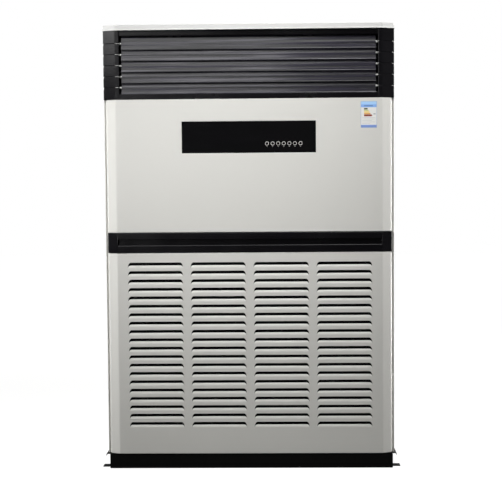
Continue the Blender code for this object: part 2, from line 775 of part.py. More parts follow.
def outlet_column(name, side):
    """A stack of bearing blocks in one moulding: grooves mark the joints, where the pins turn."""
    low = OUTLET_LEVEL + SEAT_GAP
    high = COVER_LEVEL - SEAT_GAP
    slant = CHAMFER_DEPTH / CHAMFER_WIDTH
    outer_front = OUTLET_FRONT + slant * (HALF_WIDTH - FLAT_HALF)
    front_edge = [
        (side * OUTLET_INNER, OUTLET_FRONT),
        (side * FLAT_HALF, OUTLET_FRONT),
        (side * HALF_WIDTH, outer_front),
        (side * HALF_WIDTH, OUTLET_REAR),
    ]
    outline = [*front_edge, (side * OUTLET_INNER, OUTLET_REAR)]
    column = solid_object(name, sweep(outline, "Z", low, high, closed=True), BLACK_PLASTIC)

    pockets = bmesh.new()
    levels = [high, *BLADE_AXES, low]
    inner = side * (OUTLET_INNER + COLUMN_WALL)
    outer = side * (HALF_WIDTH - COLUMN_WALL)
    for upper, lower in zip(levels, levels[1:]):
        top = upper - (COLUMN_WALL if upper == high else BEARING_RIB / 2)
        bottom = lower + (COLUMN_WALL if lower == low else BEARING_RIB / 2)
        corner = (min(inner, outer), outer_front + COLUMN_WALL, bottom)
        add_box(pockets, corner, (max(inner, outer), OUTLET_REAR + CUTTER_REACH, top))
    join(column, cutter_object(name + "_pockets", pockets), "DIFFERENCE")

    bores = bmesh.new()
    start = side * (OUTLET_INNER - CUTTER_REACH)
    end = side * (OUTLET_INNER + PIN_IN_COLUMN + COLUMN_WALL / 2)
    for z in BLADE_AXES:
        radius = PIN_RADIUS + PIN_CLEARANCE
        add_rod(bores, radius, start, end, "X", (0, BLADE_AXIS_Y, z), PIN_SIDES)
    join(column, cutter_object(name + "_bores", bores), "DIFFERENCE")

    grooves = bmesh.new()
    for z in BLADE_AXES:
        strip = sweep(front_edge, "Z", z - COLUMN_GROOVE / 2, z + COLUMN_GROOVE / 2, closed=False)
        mesh = bpy.data.meshes.new("groove")
        strip.to_mesh(mesh)
        strip.free()
        grooves.from_mesh(mesh)
        bpy.data.meshes.remove(mesh)
    face_outwards(grooves, (side, 0, 0))
    cutter = cutter_object(name + "_grooves", grooves)
    thicken(cutter, COLUMN_GROOVE, centred=True)
    join(column, cutter, "DIFFERENCE")


outlet_rail(
    "outlet_top_rail",
    [
        (OUTLET_FRONT, COVER_LEVEL - OUTLET_TOP_RAIL),
        (OUTLET_FRONT, COVER_LEVEL - SEAT_GAP),
        (OUTLET_REAR, COVER_LEVEL - SEAT_GAP),
    ],
)
outlet_rail(
    "outlet_bottom_rail",
    [
        (OUTLET_FRONT, OUTLET_LEVEL + OUTLET_BOTTOM_RAIL),
        (OUTLET_FRONT, OUTLET_LEVEL + SEAT_GAP),
        (OUTLET_REAR, OUTLET_LEVEL + SEAT_GAP),
    ],
)
outlet_column("outlet_left_column", -1)
outlet_column("outlet_right_column", 1)


# Outlet blades: an extruded section with a round spine, two wings and a lip on the lower edge


def blade_section():
    """(forward, up) points round one blade, about the axis of its spine."""
    half = BLADE_CHORD / 2
    wing = WING_THICKNESS / 2
    meet = math.asin(wing / SPINE_RADIUS)
    steps = 4
    spine = []
    for step in range(steps + 1):
        turn = meet + (math.pi - 2 * meet) * step / steps
        spine.append((SPINE_RADIUS * math.sin(turn), SPINE_RADIUS * math.cos(turn)))
    front = [(wing * 0.4, half), (wing, half - wing), *spine]
    front += [(wing, wing * 3 - half), (wing * 1.8, wing * 1.5 - half), (wing * 0.8, -half)]
    rear = [(-wing * 0.6, -half), (-wing, wing - half)]
    rear += [(-forward, up) for forward, up in reversed(spine)]
    rear += [(-wing, half - wing), (-wing * 0.4, half)]
    return [(-forward, up) for forward, up in front + rear]


def blade_axle(number, axis_z):
    """An empty on the axis that one blade and its two pins turn about."""
    axle = bpy.data.objects.new(f"blade_axle_{number}", None)
    CABINET.objects.link(axle)
    axle.empty_display_size = 0.05
    axle.location = (0, BLADE_AXIS_Y, axis_z)
    return axle


def outlet_blade(number, axle):
    bm = sweep(blade_section(), "X", -BLADE_HALF_LENGTH, BLADE_HALF_LENGTH, closed=True)
    blade = solid_object(f"outlet_blade_{number}", bm, BLADE_PLASTIC)
    blade.parent = axle
    blade.rotation_euler = (-BLADE_TILT, 0, 0)
    sockets = bmesh.new()
    radius = PIN_RADIUS + PIN_CLEARANCE
    for side in (-1, 1):
        start = side * (BLADE_HALF_LENGTH - PIN_IN_BLADE - PIN_CLEARANCE)
        end = side * (BLADE_HALF_LENGTH + CUTTER_REACH)
        add_rod(sockets, radius, start, end, "X", axle.location, PIN_SIDES)
    join(blade, cutter_object(f"blade_sockets_{number}", sockets), "DIFFERENCE")


def blade_pin(name, side, axle):
    """A turned nylon pin: a stub in the blade, a collar in the gap and a shaft in the column."""
    tip = BLADE_END_GAP + PIN_IN_COLUMN
    collar_top = BLADE_END_GAP - 2 * SEAT_GAP
    collar_foot = SEAT_GAP
    profile = [
        (0.0, tip),
        (PIN_RADIUS, tip),
        (PIN_RADIUS, collar_top),
        (PIN_COLLAR, collar_top),
        (PIN_COLLAR, collar_foot),
        (PIN_RADIUS, collar_foot),
        (PIN_RADIUS, -PIN_IN_BLADE),
        (0.0, -PIN_IN_BLADE),
    ]
    pin = turned_object(name, profile, PIN_SIDES, WHITE_NYLON)
    pin.parent = axle
    pin.location = (side * BLADE_HALF_LENGTH, 0, 0)
    pin.rotation_euler = (0, side * math.radians(90), 0)


for row, axis_height in enumerate(BLADE_AXES, start=1):
    turning_axle = blade_axle(row, axis_height)
    outlet_blade(row, turning_axle)
    blade_pin(f"blade_pin_left_{row}", -1, turning_axle)
    blade_pin(f"blade_pin_right_{row}", 1, turning_axle)


# Behind the blades: lined plenum, upright guide vanes and the cooling coil below them


def outlet_plenum():
    """A lined box open to the front and, behind its sill, to the coil below."""
    rear = REAR - PLENUM_REAR_SPACE
    inner = PLENUM_HALF - PLENUM_WALL
    shell = box(
        (-PLENUM_HALF, PLENUM_FRONT, PLENUM_FLOOR - PLENUM_WALL),
        (PLENUM_HALF, rear, PLENUM_TOP),
    )
    plenum = solid_object("outlet_plenum", shell, DUCT_FOAM)
    inside = box(
        (-inner, PLENUM_FRONT - CUTTER_REACH, PLENUM_FLOOR),
        (inner, rear - PLENUM_WALL, PLENUM_TOP - PLENUM_WALL),
    )
    join(plenum, cutter_object("plenum_inside", inside), "DIFFERENCE")
    well = box(
        (-inner, PLENUM_FRONT + SILL_DEPTH, PLENUM_FLOOR - PLENUM_WALL - CUTTER_REACH),
        (inner, rear - PLENUM_WALL, PLENUM_FLOOR + CUTTER_REACH),
    )
    join(plenum, cutter_object("plenum_well", well), "DIFFERENCE")


def guide_vanes():
    """Upright vanes side by side, carried by a rail above and a rail below."""
    inner = PLENUM_HALF - PLENUM_WALL - SEAT_GAP
    low = PLENUM_FLOOR + SEAT_GAP
    high = PLENUM_TOP - PLENUM_WALL - SEAT_GAP
    front = PLENUM_FRONT + VANE_SETBACK
    rail_front = front + (VANE_DEPTH - VANE_RAIL_DEPTH) / 2
    rail_rear = rail_front + VANE_RAIL_DEPTH
    lower_rail = box((-inner, rail_front, low), (inner, rail_rear, low + VANE_RAIL))
    rack = solid_object("guide_vanes", lower_rail, BLACK_PLASTIC)
    upper_rail = box((-inner, rail_front, high - VANE_RAIL), (inner, rail_rear, high))
    join(rack, cutter_object("upper_vane_rail", upper_rail), "UNION")
    vanes = bmesh.new()
    pitch = 2 * inner / VANE_COUNT
    for number in range(VANE_COUNT):
        x = -inner + pitch * (number + 0.5)
        corner = (x - VANE_THICKNESS / 2, front, low + VANE_RAIL / 2)
        add_box(vanes, corner, (x + VANE_THICKNESS / 2, front + VANE_DEPTH, high - VANE_RAIL / 2))
    join(rack, cutter_object("vanes", vanes), "UNION")


def cooling_coil():
    """A finned block between two channel shaped end plates that reach the side panels."""
    half = PLENUM_HALF
    core_half = half - COIL_END_SPACE
    fins = box(
        (-core_half, -COIL_THICKNESS / 2, -COIL_HEIGHT / 2),
        (core_half, COIL_THICKNESS / 2, COIL_HEIGHT / 2),
    )
    coil = solid_object("cooling_coil", fins, COIL_FINS)
    lean = math.cos(COIL_TILT) * COIL_HEIGHT / 2 + math.sin(COIL_TILT) * COIL_THICKNESS / 2
    rim = COIL_PLATE_RIM
    drop = PLENUM_FLOOR - PLENUM_WALL - COIL_DROP
    coil.location = (0, 0, drop - lean - rim)
    coil.rotation_euler = (-COIL_TILT, 0, 0)
    for side in (-1, 1):
        wide, tall = COIL_THICKNESS / 2 + rim, COIL_HEIGHT / 2 + rim
        plate = bmesh.new()
        near, far = side * (core_half - COIL_PLATE), side * half
        add_box(plate, (min(near, far), -wide, -tall), (max(near, far), wide, tall))
        end_plate = cutter_object(f"coil_end_plate_{side:+d}", plate)
        hollow = bmesh.new()
        near, far = side * core_half, side * (half + CUTTER_REACH)
        wide, tall = wide - COIL_PLATE, tall - COIL_PLATE
        add_box(hollow, (min(near, far), -wide, -tall), (max(near, far), wide, tall))
        inside = cutter_object(f"coil_end_hollow_{side:+d}", hollow)
        for helper in (end_plate, inside):
            helper.location = coil.location
            helper.rotation_euler = coil.rotation_euler
        join(end_plate, inside, "DIFFERENCE")
        join(coil, end_plate, "UNION")


outlet_plenum()
guide_vanes()
cooling_coil()
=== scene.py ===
import math

import bmesh
import bpy
from mathutils import Matrix, Vector


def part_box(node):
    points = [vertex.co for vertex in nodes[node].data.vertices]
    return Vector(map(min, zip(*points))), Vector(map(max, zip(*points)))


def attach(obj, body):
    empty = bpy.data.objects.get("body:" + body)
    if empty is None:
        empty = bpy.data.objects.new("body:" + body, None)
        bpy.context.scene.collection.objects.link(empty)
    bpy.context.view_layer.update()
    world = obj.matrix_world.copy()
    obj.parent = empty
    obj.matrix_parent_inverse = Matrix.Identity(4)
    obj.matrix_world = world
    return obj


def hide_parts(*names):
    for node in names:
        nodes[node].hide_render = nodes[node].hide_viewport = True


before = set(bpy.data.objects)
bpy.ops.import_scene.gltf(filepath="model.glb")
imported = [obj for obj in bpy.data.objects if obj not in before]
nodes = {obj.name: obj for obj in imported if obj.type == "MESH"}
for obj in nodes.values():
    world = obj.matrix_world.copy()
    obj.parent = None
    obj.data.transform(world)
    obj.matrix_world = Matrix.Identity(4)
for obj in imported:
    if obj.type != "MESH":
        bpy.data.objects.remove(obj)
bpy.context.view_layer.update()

# Floor standing air conditioner, dressed over its CAD frame. Metres, front towards -Y.


# sRGB hex to the linear colour that the shader wants
def linearColour(hexColour):
    values = [int(hexColour[i:i + 2], 16) / 255 for i in (0, 2, 4)]
    return (*[v / 12.92 if v <= 0.04045 else ((v + 0.055) / 1.055) ** 2.4 for v in values], 1.0)


# one node with its settings; a socket takes a number, a colour or another node's output
def addNode(tree, kind, settings, sockets):
    node = tree.nodes.new(kind)
    for name, value in settings.items():
        setattr(node, name, value)
    for name, value in sockets.items():
        if isinstance(value, bpy.types.NodeSocket):
            tree.links.new(value, node.inputs[name])
        else:
            node.inputs[name].default_value = value
    return node


# a new material with its shader's own sockets set, and the object's own coordinates in metres
def newMaterial(name, **sockets):
    material = bpy.data.materials.new(name)
    material.use_nodes = True
    tree = material.node_tree
    shader = tree.nodes["Principled BSDF"]
    for socket, value in sockets.items():
        shader.inputs[socket.replace("_", " ")].default_value = value
    place = addNode(tree, "ShaderNodeTexCoord", {}, {}).outputs["Object"]
    return material, tree, shader, place


# patterns repeat once in this many metres
def perMetre(millimetres):
    return 1000 / millimetres


# a wave texture's bands are 0.314 / scale apart
def bandScale(millimetres):
    return 0.314159 * perMetre(millimetres)


print("materials")


# Polyester powder coat, sprayed and baked. Gives a satin skin with a soft orange peel, and a
# colour that wanders a little over a panel. Real peel is 1.5 mm wide, drawn at peelWidth.
def powderCoat(name, pale, deep, roughness, peelWidth=3.0, peelDepth=0.00005, **sockets):
    material, tree, shader, place = newMaterial(name, **sockets)
    cloud = addNode(tree, "ShaderNodeTexNoise", {}, {"Vector": place, "Scale": perMetre(420), "Detail": 3})
    paint = addNode(tree, "ShaderNodeMix", {"data_type": "RGBA"}, {
        0: cloud.outputs["Fac"], 6: linearColour(deep), 7: linearColour(pale)})
    sheen = addNode(tree, "ShaderNodeTexNoise", {}, {"Vector": place, "Scale": perMetre(18), "Detail": 4})
    gloss = addNode(tree, "ShaderNodeMapRange", {}, {
        "Value": sheen.outputs["Fac"], "From Min": 0.3, "From Max": 0.7,
        "To Min": roughness - 0.04, "To Max": roughness + 0.04})
    peel = addNode(tree, "ShaderNodeTexNoise", {}, {
        "Vector": place, "Scale": perMetre(peelWidth), "Detail": 1, "Roughness": 0.4})
    relief = addNode(tree, "ShaderNodeBump", {}, {
        "Height": peel.outputs["Fac"], "Distance": peelDepth, "Strength": 0.5})
    tree.links.new(paint.outputs[2], shader.inputs["Base Color"])
    tree.links.new(gloss.outputs["Result"], shader.inputs["Roughness"])
    tree.links.new(relief.outputs["Normal"], shader.inputs["Normal"])
    return material


# Moulded plastic from a spark eroded tool. Gives a dark, even face with a fine grain that
# breaks up its reflections. Real grain is 0.4 mm, drawn at grain mm.
def mouldedPlastic(name, pale, deep, roughness, grain=1.4, grainDepth=0.00003, **sockets):
    material, tree, shader, place = newMaterial(name, **sockets)
    flow = addNode(tree, "ShaderNodeTexNoise", {}, {"Vector": place, "Scale": perMetre(160), "Detail": 2})
    resin = addNode(tree, "ShaderNodeMix", {"data_type": "RGBA"}, {
        0: flow.outputs["Fac"], 6: linearColour(deep), 7: linearColour(pale)})
    spark = addNode(tree, "ShaderNodeTexVoronoi", {}, {"Vector": place, "Scale": perMetre(grain)})
    gloss = addNode(tree, "ShaderNodeMapRange", {}, {
        "Value": flow.outputs["Fac"], "From Min": 0.3, "From Max": 0.7,
        "To Min": roughness - 0.04, "To Max": roughness + 0.04})
    relief = addNode(tree, "ShaderNodeBump", {}, {
        "Height": spark.outputs["Distance"], "Distance": grainDepth, "Strength": 0.5})
    tree.links.new(resin.outputs[2], shader.inputs["Base Color"])
    tree.links.new(gloss.outputs["Result"], shader.inputs["Roughness"])
    tree.links.new(relief.outputs["Normal"], shader.inputs["Normal"])
    return material


# Extruded ABS. Gives long fine die lines along the blade and a satin gloss between them.
# Real die lines are about 0.3 mm apart, drawn at 1.2 mm.
def extrudedAbs(name, pale, deep, roughness, **sockets):
    material, tree, shader, place = newMaterial(name, **sockets)
    drawn = addNode(tree, "ShaderNodeMapping", {}, {"Vector": place, "Scale": (0.02, 1, 1)})
    lines = addNode(tree, "ShaderNodeTexNoise", {}, {
        "Vector": drawn.outputs["Vector"], "Scale": perMetre(1.2), "Detail": 3})
    bands = addNode(tree, "ShaderNodeTexNoise", {}, {
        "Vector": drawn.outputs["Vector"], "Scale": perMetre(9), "Detail": 2, "Roughness": 0.6})
    streaks = addNode(tree, "ShaderNodeMapRange", {}, {
        "Value": bands.outputs["Fac"], "From Min": 0.42, "From Max": 0.62, "To Min": 0.0, "To Max": 1.0})
    resin = addNode(tree, "ShaderNodeMix", {"data_type": "RGBA"}, {
        0: streaks.outputs["Result"], 6: linearColour(deep), 7: linearColour(pale)})
    gloss = addNode(tree, "ShaderNodeMapRange", {}, {
        "Value": streaks.outputs["Result"], "From Min": 0.0, "From Max": 1.0,
        "To Min": roughness + 0.09, "To Max": roughness - 0.07})
    relief = addNode(tree, "ShaderNodeBump", {}, {
        "Height": lines.outputs["Fac"], "Distance": 0.00004, "Strength": 0.5})
    ripple = addNode(tree, "ShaderNodeBump", {}, {
        "Height": streaks.outputs["Result"], "Distance": 0.0002, "Strength": 0.7,
        "Normal": relief.outputs["Normal"]})
    tree.links.new(resin.outputs[2], shader.inputs["Base Color"])
    tree.links.new(gloss.outputs["Result"], shader.inputs["Roughness"])
    tree.links.new(ripple.outputs["Normal"], shader.inputs["Normal"])
    return material


# Cast acrylic, tinted black and polished. Gives a deep gloss with faint wiping marks in it.
def castAcrylic(name, **sockets):
    material, tree, shader, place = newMaterial(name, **sockets)
    wiped = addNode(tree, "ShaderNodeMapping", {}, {"Vector": place, "Scale": (0.25, 1, 1)})
    marks = addNode(tree, "ShaderNodeTexNoise", {}, {
        "Vector": wiped.outputs["Vector"], "Scale": perMetre(24), "Detail": 5})
    tint = addNode(tree, "ShaderNodeMix", {"data_type": "RGBA"}, {
        0: marks.outputs["Fac"], 6: linearColour("070708"), 7: linearColour("0C0C0E")})
    gloss = addNode(tree, "ShaderNodeMapRange", {}, {
        "Value": marks.outputs["Fac"], "From Min": 0.3, "From Max": 0.7, "To Min": 0.05, "To Max": 0.11})
    tree.links.new(tint.outputs[2], shader.inputs["Base Color"])
    tree.links.new(gloss.outputs["Result"], shader.inputs["Roughness"])
    return material


# Hot dip galvanised sheet. Gives the spangle: crystals that each catch the light differently.
def galvanisedSheet(name, spangle=11.0, **sockets):
    material, tree, shader, place = newMaterial(name, **sockets)
    crystal = addNode(tree, "ShaderNodeTexVoronoi", {"feature": "F1"}, {
        "Vector": place, "Scale": perMetre(spangle), "Randomness": 1.0})
    tone = addNode(tree, "ShaderNodeSeparateColor", {}, {"Color": crystal.outputs["Color"]})
    frost = addNode(tree, "ShaderNodeTexNoise", {}, {"Vector": place, "Scale": perMetre(2.5), "Detail": 2})
    zinc = addNode(tree, "ShaderNodeMix", {"data_type": "RGBA"}, {
        0: tone.outputs["Red"], 6: linearColour("9EA2A5"), 7: linearColour("BCC0C2")})
    gloss = addNode(tree, "ShaderNodeMapRange", {}, {
        "Value": tone.outputs["Green"], "From Min": 0.0, "From Max": 1.0, "To Min": 0.36, "To Max": 0.56})
    relief = addNode(tree, "ShaderNodeBump", {}, {
        "Height": frost.outputs["Fac"], "Distance": 0.00002, "Strength": 0.4})
    tree.links.new(zinc.outputs[2], shader.inputs["Base Color"])
    tree.links.new(gloss.outputs["Result"], shader.inputs["Roughness"])
    tree.links.new(relief.outputs["Normal"], shader.inputs["Normal"])
    return material


# Rolled aluminium fins, punched and stacked. Gives fine upright lines, the fins' edges in the
# aluminium's own pale colour and painted shade in the dark gaps between them. Real fins are 1.8 mm apart,
# drawn at 3.6 mm.
def stackedFins(name, **sockets):
    material, tree, shader, place = newMaterial(name, **sockets)
    fins = addNode(tree, "ShaderNodeTexWave", {"bands_direction": "X"}, {
        "Vector": place, "Scale": bandScale(3.6), "Distortion": 0.15})
    # the dark colour between the fins is painted shade
    finsAndGapShade = addNode(tree, "ShaderNodeMix", {"data_type": "RGBA"}, {
        0: fins.outputs["Fac"], 6: linearColour("3A3C3E"), 7: linearColour("C4C8CB")})
    relief = addNode(tree, "ShaderNodeBump", {}, {
        "Height": fins.outputs["Fac"], "Distance": 0.0008, "Strength": 0.8})
    gloss = addNode(tree, "ShaderNodeMapRange", {}, {
        "Value": fins.outputs["Fac"], "From Min": 0.0, "From Max": 1.0, "To Min": 0.55, "To Max": 0.32})
    tree.links.new(finsAndGapShade.outputs[2], shader.inputs["Base Color"])
    tree.links.new(gloss.outputs["Result"], shader.inputs["Roughness"])
    tree.links.new(relief.outputs["Normal"], shader.inputs["Normal"])
    return material


# Woven nylon net. Gives a dark cloth of crossing threads, with painted shade in the near-black openings
# between them. Real mesh is 1 mm, drawn at 2.5 mm.
def wovenNet(name, **sockets):
    material, tree, shader, place = newMaterial(name, **sockets)
    across = addNode(tree, "ShaderNodeTexWave", {"bands_direction": "X"}, {
        "Vector": place, "Scale": bandScale(2.5)})
    upright = addNode(tree, "ShaderNodeTexWave", {"bands_direction": "Z"}, {
        "Vector": place, "Scale": bandScale(2.5)})
    threads = addNode(tree, "ShaderNodeMath", {"operation": "MAXIMUM"}, {
        0: across.outputs["Fac"], 1: upright.outputs["Fac"]})
    # the near-black colour in the openings is painted shade
    threadsAndOpeningShade = addNode(tree, "ShaderNodeMix", {"data_type": "RGBA"}, {
        0: threads.outputs["Value"], 6: linearColour("050505"), 7: linearColour("1A1B1D")})
    relief = addNode(tree, "ShaderNodeBump", {}, {
        "Height": threads.outputs["Value"], "Distance": 0.0004, "Strength": 0.8})
    tree.links.new(threadsAndOpeningShade.outputs[2], shader.inputs["Base Color"])
    tree.links.new(relief.outputs["Normal"], shader.inputs["Normal"])
    return material


# Moulded rubber or foam skin. Gives a dull face with a soft pitted surface and pale bloom.
def dullSkin(name, pale, deep, pit, pitDepth, roughness, **sockets):
    material, tree, shader, place = newMaterial(name, **sockets)
    bloom = addNode(tree, "ShaderNodeTexNoise", {}, {"Vector": place, "Scale": perMetre(30), "Detail": 5})
    skin = addNode(tree, "ShaderNodeMix", {"data_type": "RGBA"}, {
        0: bloom.outputs["Fac"], 6: linearColour(deep), 7: linearColour(pale)})
    pits = addNode(tree, "ShaderNodeTexVoronoi", {"feature": "SMOOTH_F1"}, {
        "Vector": place, "Scale": perMetre(pit)})
    gloss = addNode(tree, "ShaderNodeMapRange", {}, {
        "Value": bloom.outputs["Fac"], "From Min": 0.3, "From Max": 0.7,
        "To Min": roughness - 0.05, "To Max": roughness + 0.05})
    relief = addNode(tree, "ShaderNodeBump", {}, {
        "Height": pits.outputs["Distance"], "Distance": pitDepth, "Strength": 0.7})
    tree.links.new(skin.outputs[2], shader.inputs["Base Color"])
    tree.links.new(gloss.outputs["Result"], shader.inputs["Roughness"])
    tree.links.new(relief.outputs["Normal"], shader.inputs["Normal"])
    return material


# Screen printed ink or vinyl film. Gives a flat colour that is a little thinner in places.
def printedFilm(name, colour, thin, roughness, **sockets):
    material, tree, shader, place = newMaterial(name, **sockets)
    density = addNode(tree, "ShaderNodeTexNoise", {}, {
        "Vector": place, "Scale": perMetre(1.5), "Detail": 2})
    ink = addNode(tree, "ShaderNodeMix", {"data_type": "RGBA"}, {
        0: density.outputs["Fac"], 6: linearColour(thin), 7: linearColour(colour)})
    gloss = addNode(tree, "ShaderNodeMapRange", {}, {
        "Value": density.outputs["Fac"], "From Min": 0.3, "From Max": 0.7,
        "To Min": roughness - 0.03, "To Max": roughness + 0.03})
    tree.links.new(ink.outputs[2], shader.inputs["Base Color"])
    tree.links.new(gloss.outputs["Result"], shader.inputs["Roughness"])
    return material


ivoryCoat = powderCoat("ivory powder coat, sprayed", "DBDAD5", "D6D5D0", 0.42)
# one cover paint in two copies: the paler copy is a painted highlight for the hem's rolled edge, the darker
# copy is painted shade on the tray's face
coverCoatLitCopy = powderCoat("cover powder coat, painted highlight copy", "E9E9E6", "E4E4E1", 0.40)
coverCoatShadedCopy = powderCoat("cover powder coat, painted shade copy", "DADAD8", "D6D6D4", 0.42)
baseCoat = powderCoat("black powder coat, sprayed", "131313", "0F0F0F", 0.6, Specular_IOR_Level=0.03)
blackAbs = mouldedPlastic("black ABS, moulded", "100F12", "0B0A0D", 0.24, Specular_IOR_Level=0.25)
bladeAbs = extrudedAbs("dark grey ABS, extruded", "312F39", "101014", 0.23, Specular_IOR_Level=0.4)
whiteNylon = mouldedPlastic("white nylon, turned", "F0F0EC", "E4E4DF", 0.45, grain=2.0)
# the filter parts behind the louvres are black nylon, darkened further as painted shade so the slots read as
# deep shade
filterNylonPaintedShade = mouldedPlastic("black nylon, moulded, darkened with painted shade", "080808", "050505", 0.7, Specular_IOR_Level=0.08)
filterNetPaintedShade = wovenNet("black nylon net, woven, with painted shade", Roughness=0.8, Specular_IOR_Level=0.08)
windowAcrylic = castAcrylic("black acrylic, cast", IOR=1.49)
zincSheet = galvanisedSheet("galvanised steel, hot dipped", Metallic=1.0)
finStock = stackedFins("aluminium fins, rolled, with painted gap shade", Metallic=1.0)
ductFoam = dullSkin("closed cell foam, cut", "202021", "161617", 4.0, 0.0006, 0.85)
epdmRubber = dullSkin("EPDM rubber, moulded", "181817", "0F0F0F", 2.5, 0.0001, 0.72)
greyInk = printedFilm("pale grey ink, screen printed", "E2E2E0", "D6D6D4", 0.4)
whiteVinyl = printedFilm("white vinyl, cut", "EDEDEA", "E6E6E3", 0.32)
zincScrew = galvanisedSheet("zinc plated steel, cold headed", spangle=2.0, Metallic=1.0)

nodeFinish = {
    "base_": baseCoat, "left_side_panel": ivoryCoat, "right_side_panel": ivoryCoat,
    "top_cover": coverCoatLitCopy, "rear_": zincSheet, "pipe_grommet": epdmRubber,
    "intake_panel": ivoryCoat, "filter_frame": filterNylonPaintedShade, "filter_net": filterNetPaintedShade,
    "middle_band": blackAbs, "display_panel": ivoryCoat, "display_window": windowAcrylic,
    "outlet_top_rail": blackAbs, "outlet_bottom_rail": blackAbs, "outlet_left_column": blackAbs,
    "outlet_right_column": blackAbs, "outlet_plenum": ductFoam, "guide_vanes": blackAbs,
    "cooling_coil": finStock, "outlet_blade_": bladeAbs, "blade_pin_": whiteNylon,
}
for name, obj in nodes.items():
    for start, material in nodeFinish.items():
        if name.startswith(start):
            obj.data.materials[0] = material

print("pieces")

# Every piece is built in place, over the CAD node that it stands for
front, slantStart = -0.210, 0.554
sheetMetal = {
    "thickness": 0.0012, "foldRadius": 0.0026, "foldSteps": 5,
    "slantWidth": 0.040, "slantDepth": 0.016, "slantRadius": 0.004, "slantSteps": 3,
    "sideRadius": 0.0055, "sideSteps": 7,
}


def newPiece(name, bm, material, body="cabinet", instead=()):
    mesh = bpy.data.meshes.new(name)
    bmesh.ops.recalc_face_normals(bm, faces=bm.faces)
    bm.to_mesh(mesh)
    bm.free()
    mesh.materials.append(material)
    obj = bpy.data.objects.new(name, mesh)
    bpy.context.scene.collection.objects.link(obj)
    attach(obj, body)
    if instead:
        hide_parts(*instead)
    return obj


# applies what is on the piece so far, keeps its hard edges hard and its flat faces evenly shaded
def settle(obj, hardAngle=35):
    graph = bpy.context.evaluated_depsgraph_get()
    mesh = bpy.data.meshes.new_from_object(obj.evaluated_get(graph))
    obj.modifiers.clear()
    obj.data = mesh
    mesh.shade_smooth()
    mesh.set_sharp_from_angle(angle=math.radians(hardAngle))
    even = obj.modifiers.new("even shading", "WEIGHTED_NORMAL")
    even.keep_sharp = True
    return obj


# takes a second solid out of a piece
def cutAway(obj, bm):
    mesh = bpy.data.meshes.new("cutter")
    bmesh.ops.recalc_face_normals(bm, faces=bm.faces)
    bm.to_mesh(mesh)
    bm.free()
    cutter = bpy.data.objects.new("cutter", mesh)
    bpy.context.scene.collection.objects.link(cutter)
    cut = obj.modifiers.new("cut", "BOOLEAN")
    cut.operation, cut.solver, cut.object = "DIFFERENCE", "EXACT", cutter
    settle(obj)
    bpy.data.objects.remove(cutter)
    bpy.data.meshes.remove(mesh)


# sheet thickness, inwards from the modelled face
def thicken(obj, thickness):
    wall = obj.modifiers.new("wall", "SOLIDIFY")
    wall.thickness = thickness
    wall.offset = -1
    wall.use_even_offset = True
    return settle(obj)


# a 2D outline with each corner rounded by its own radius; 0 leaves a corner sharp
def roundedOutline(points, radii, steps=5):
    made = []
    for i, corner in enumerate(points):
        here, before, after = Vector(corner), Vector(points[i - 1]), Vector(points[(i + 1) % len(points)])
        if radii[i] == 0:
            made.append(tuple(here))
            continue
        inward, onward = (before - here).normalized(), (after - here).normalized()
        half = math.acos(max(-1, min(1, inward.dot(onward)))) / 2
        setback = radii[i] / math.tan(half)
        centre = here + (inward + onward).normalized() * (radii[i] / math.sin(half))
        start, end = here + inward * setback - centre, here + onward * setback - centre
        sweepAngle = start.angle_signed(end)
        for step in range(steps + 1):
            made.append(tuple(centre + Matrix.Rotation(-sweepAngle * step / steps, 2) @ start))
    return made


# an outline carried along one axis, as a solid bar
def bar(bm, points, axis, start, end):
    place = {"X": lambda u, v, w: (w, u, v), "Y": lambda u, v, w: (u, w, v),
             "Z": lambda u, v, w: (u, v, w)}[axis]
    ring = [bm.verts.new(place(u, v, start)) for u, v in points]
    made = bmesh.ops.extrude_face_region(bm, geom=[bm.faces.new(ring)])["geom"]
    moved = [v for v in made if isinstance(v, bmesh.types.BMVert)]
    bmesh.ops.translate(bm, vec=Vector(place(0, 0, end - start)), verts=moved)


# rounds the edges whose bend lies between two angles, or only those further out than beyond
def roundEdges(bm, radius, steps, least, most=181, beyond=0):
    chosen = [e for e in bm.edges if len(e.link_faces) == 2
              and math.radians(least) < e.calc_face_angle() < math.radians(most)
              and all(abs(v.co.x) >= beyond for v in e.verts)]
    bmesh.ops.bevel(bm, geom=chosen, offset=radius, segments=steps, profile=0.5, affect="EDGES")


# plan of a front piece, with a slanted strip down each side
def frontOutline(half, face, rear):
    slantEnd = face + sheetMetal["slantDepth"] * (half - slantStart) / sheetMetal["slantWidth"]
    return [(-half, rear), (-half, slantEnd), (-slantStart, face),
            (slantStart, face), (half, slantEnd), (half, rear)]


# a folded tray: a prism with one side left off and its bends rounded
def foldedTray(outline, low, high, openSide):
    bm = bmesh.new()
    bar(bm, outline, "Z", low, high)
    bmesh.ops.recalc_face_normals(bm, faces=bm.faces)
    gone = [f for f in bm.faces if f.normal.dot(Vector(openSide)) > 0.99]
    bmesh.ops.delete(bm, geom=gone, context="FACES_ONLY")
    roundEdges(bm, sheetMetal["slantRadius"], sheetMetal["slantSteps"], 15, 40)
    roundEdges(bm, sheetMetal["sideRadius"], sheetMetal["sideSteps"], 40,
               beyond=max(x for x, y in outline) - 0.0001)
    roundEdges(bm, sheetMetal["foldRadius"], sheetMetal["foldSteps"], 40)
    return bm


# opens the largest face that looks to the front at each loop of vertices in it
def pierce(bm, loops):
    bm.normal_update()
    facing = [f for f in bm.faces if abs(f.normal.y) > 0.999]
    flat = max(facing, key=lambda f: f.calc_area())
    edges = list(flat.edges)
    bmesh.ops.delete(bm, geom=[flat], context="FACES_ONLY")
    for loop in loops:
        edges += [bm.edges.get(pair) or bm.edges.new(pair) for pair in zip(loop, loop[1:] + loop[:1])]
    bmesh.ops.triangle_fill(bm, use_beauty=True, edges=edges, normal=(0, -1, 0))


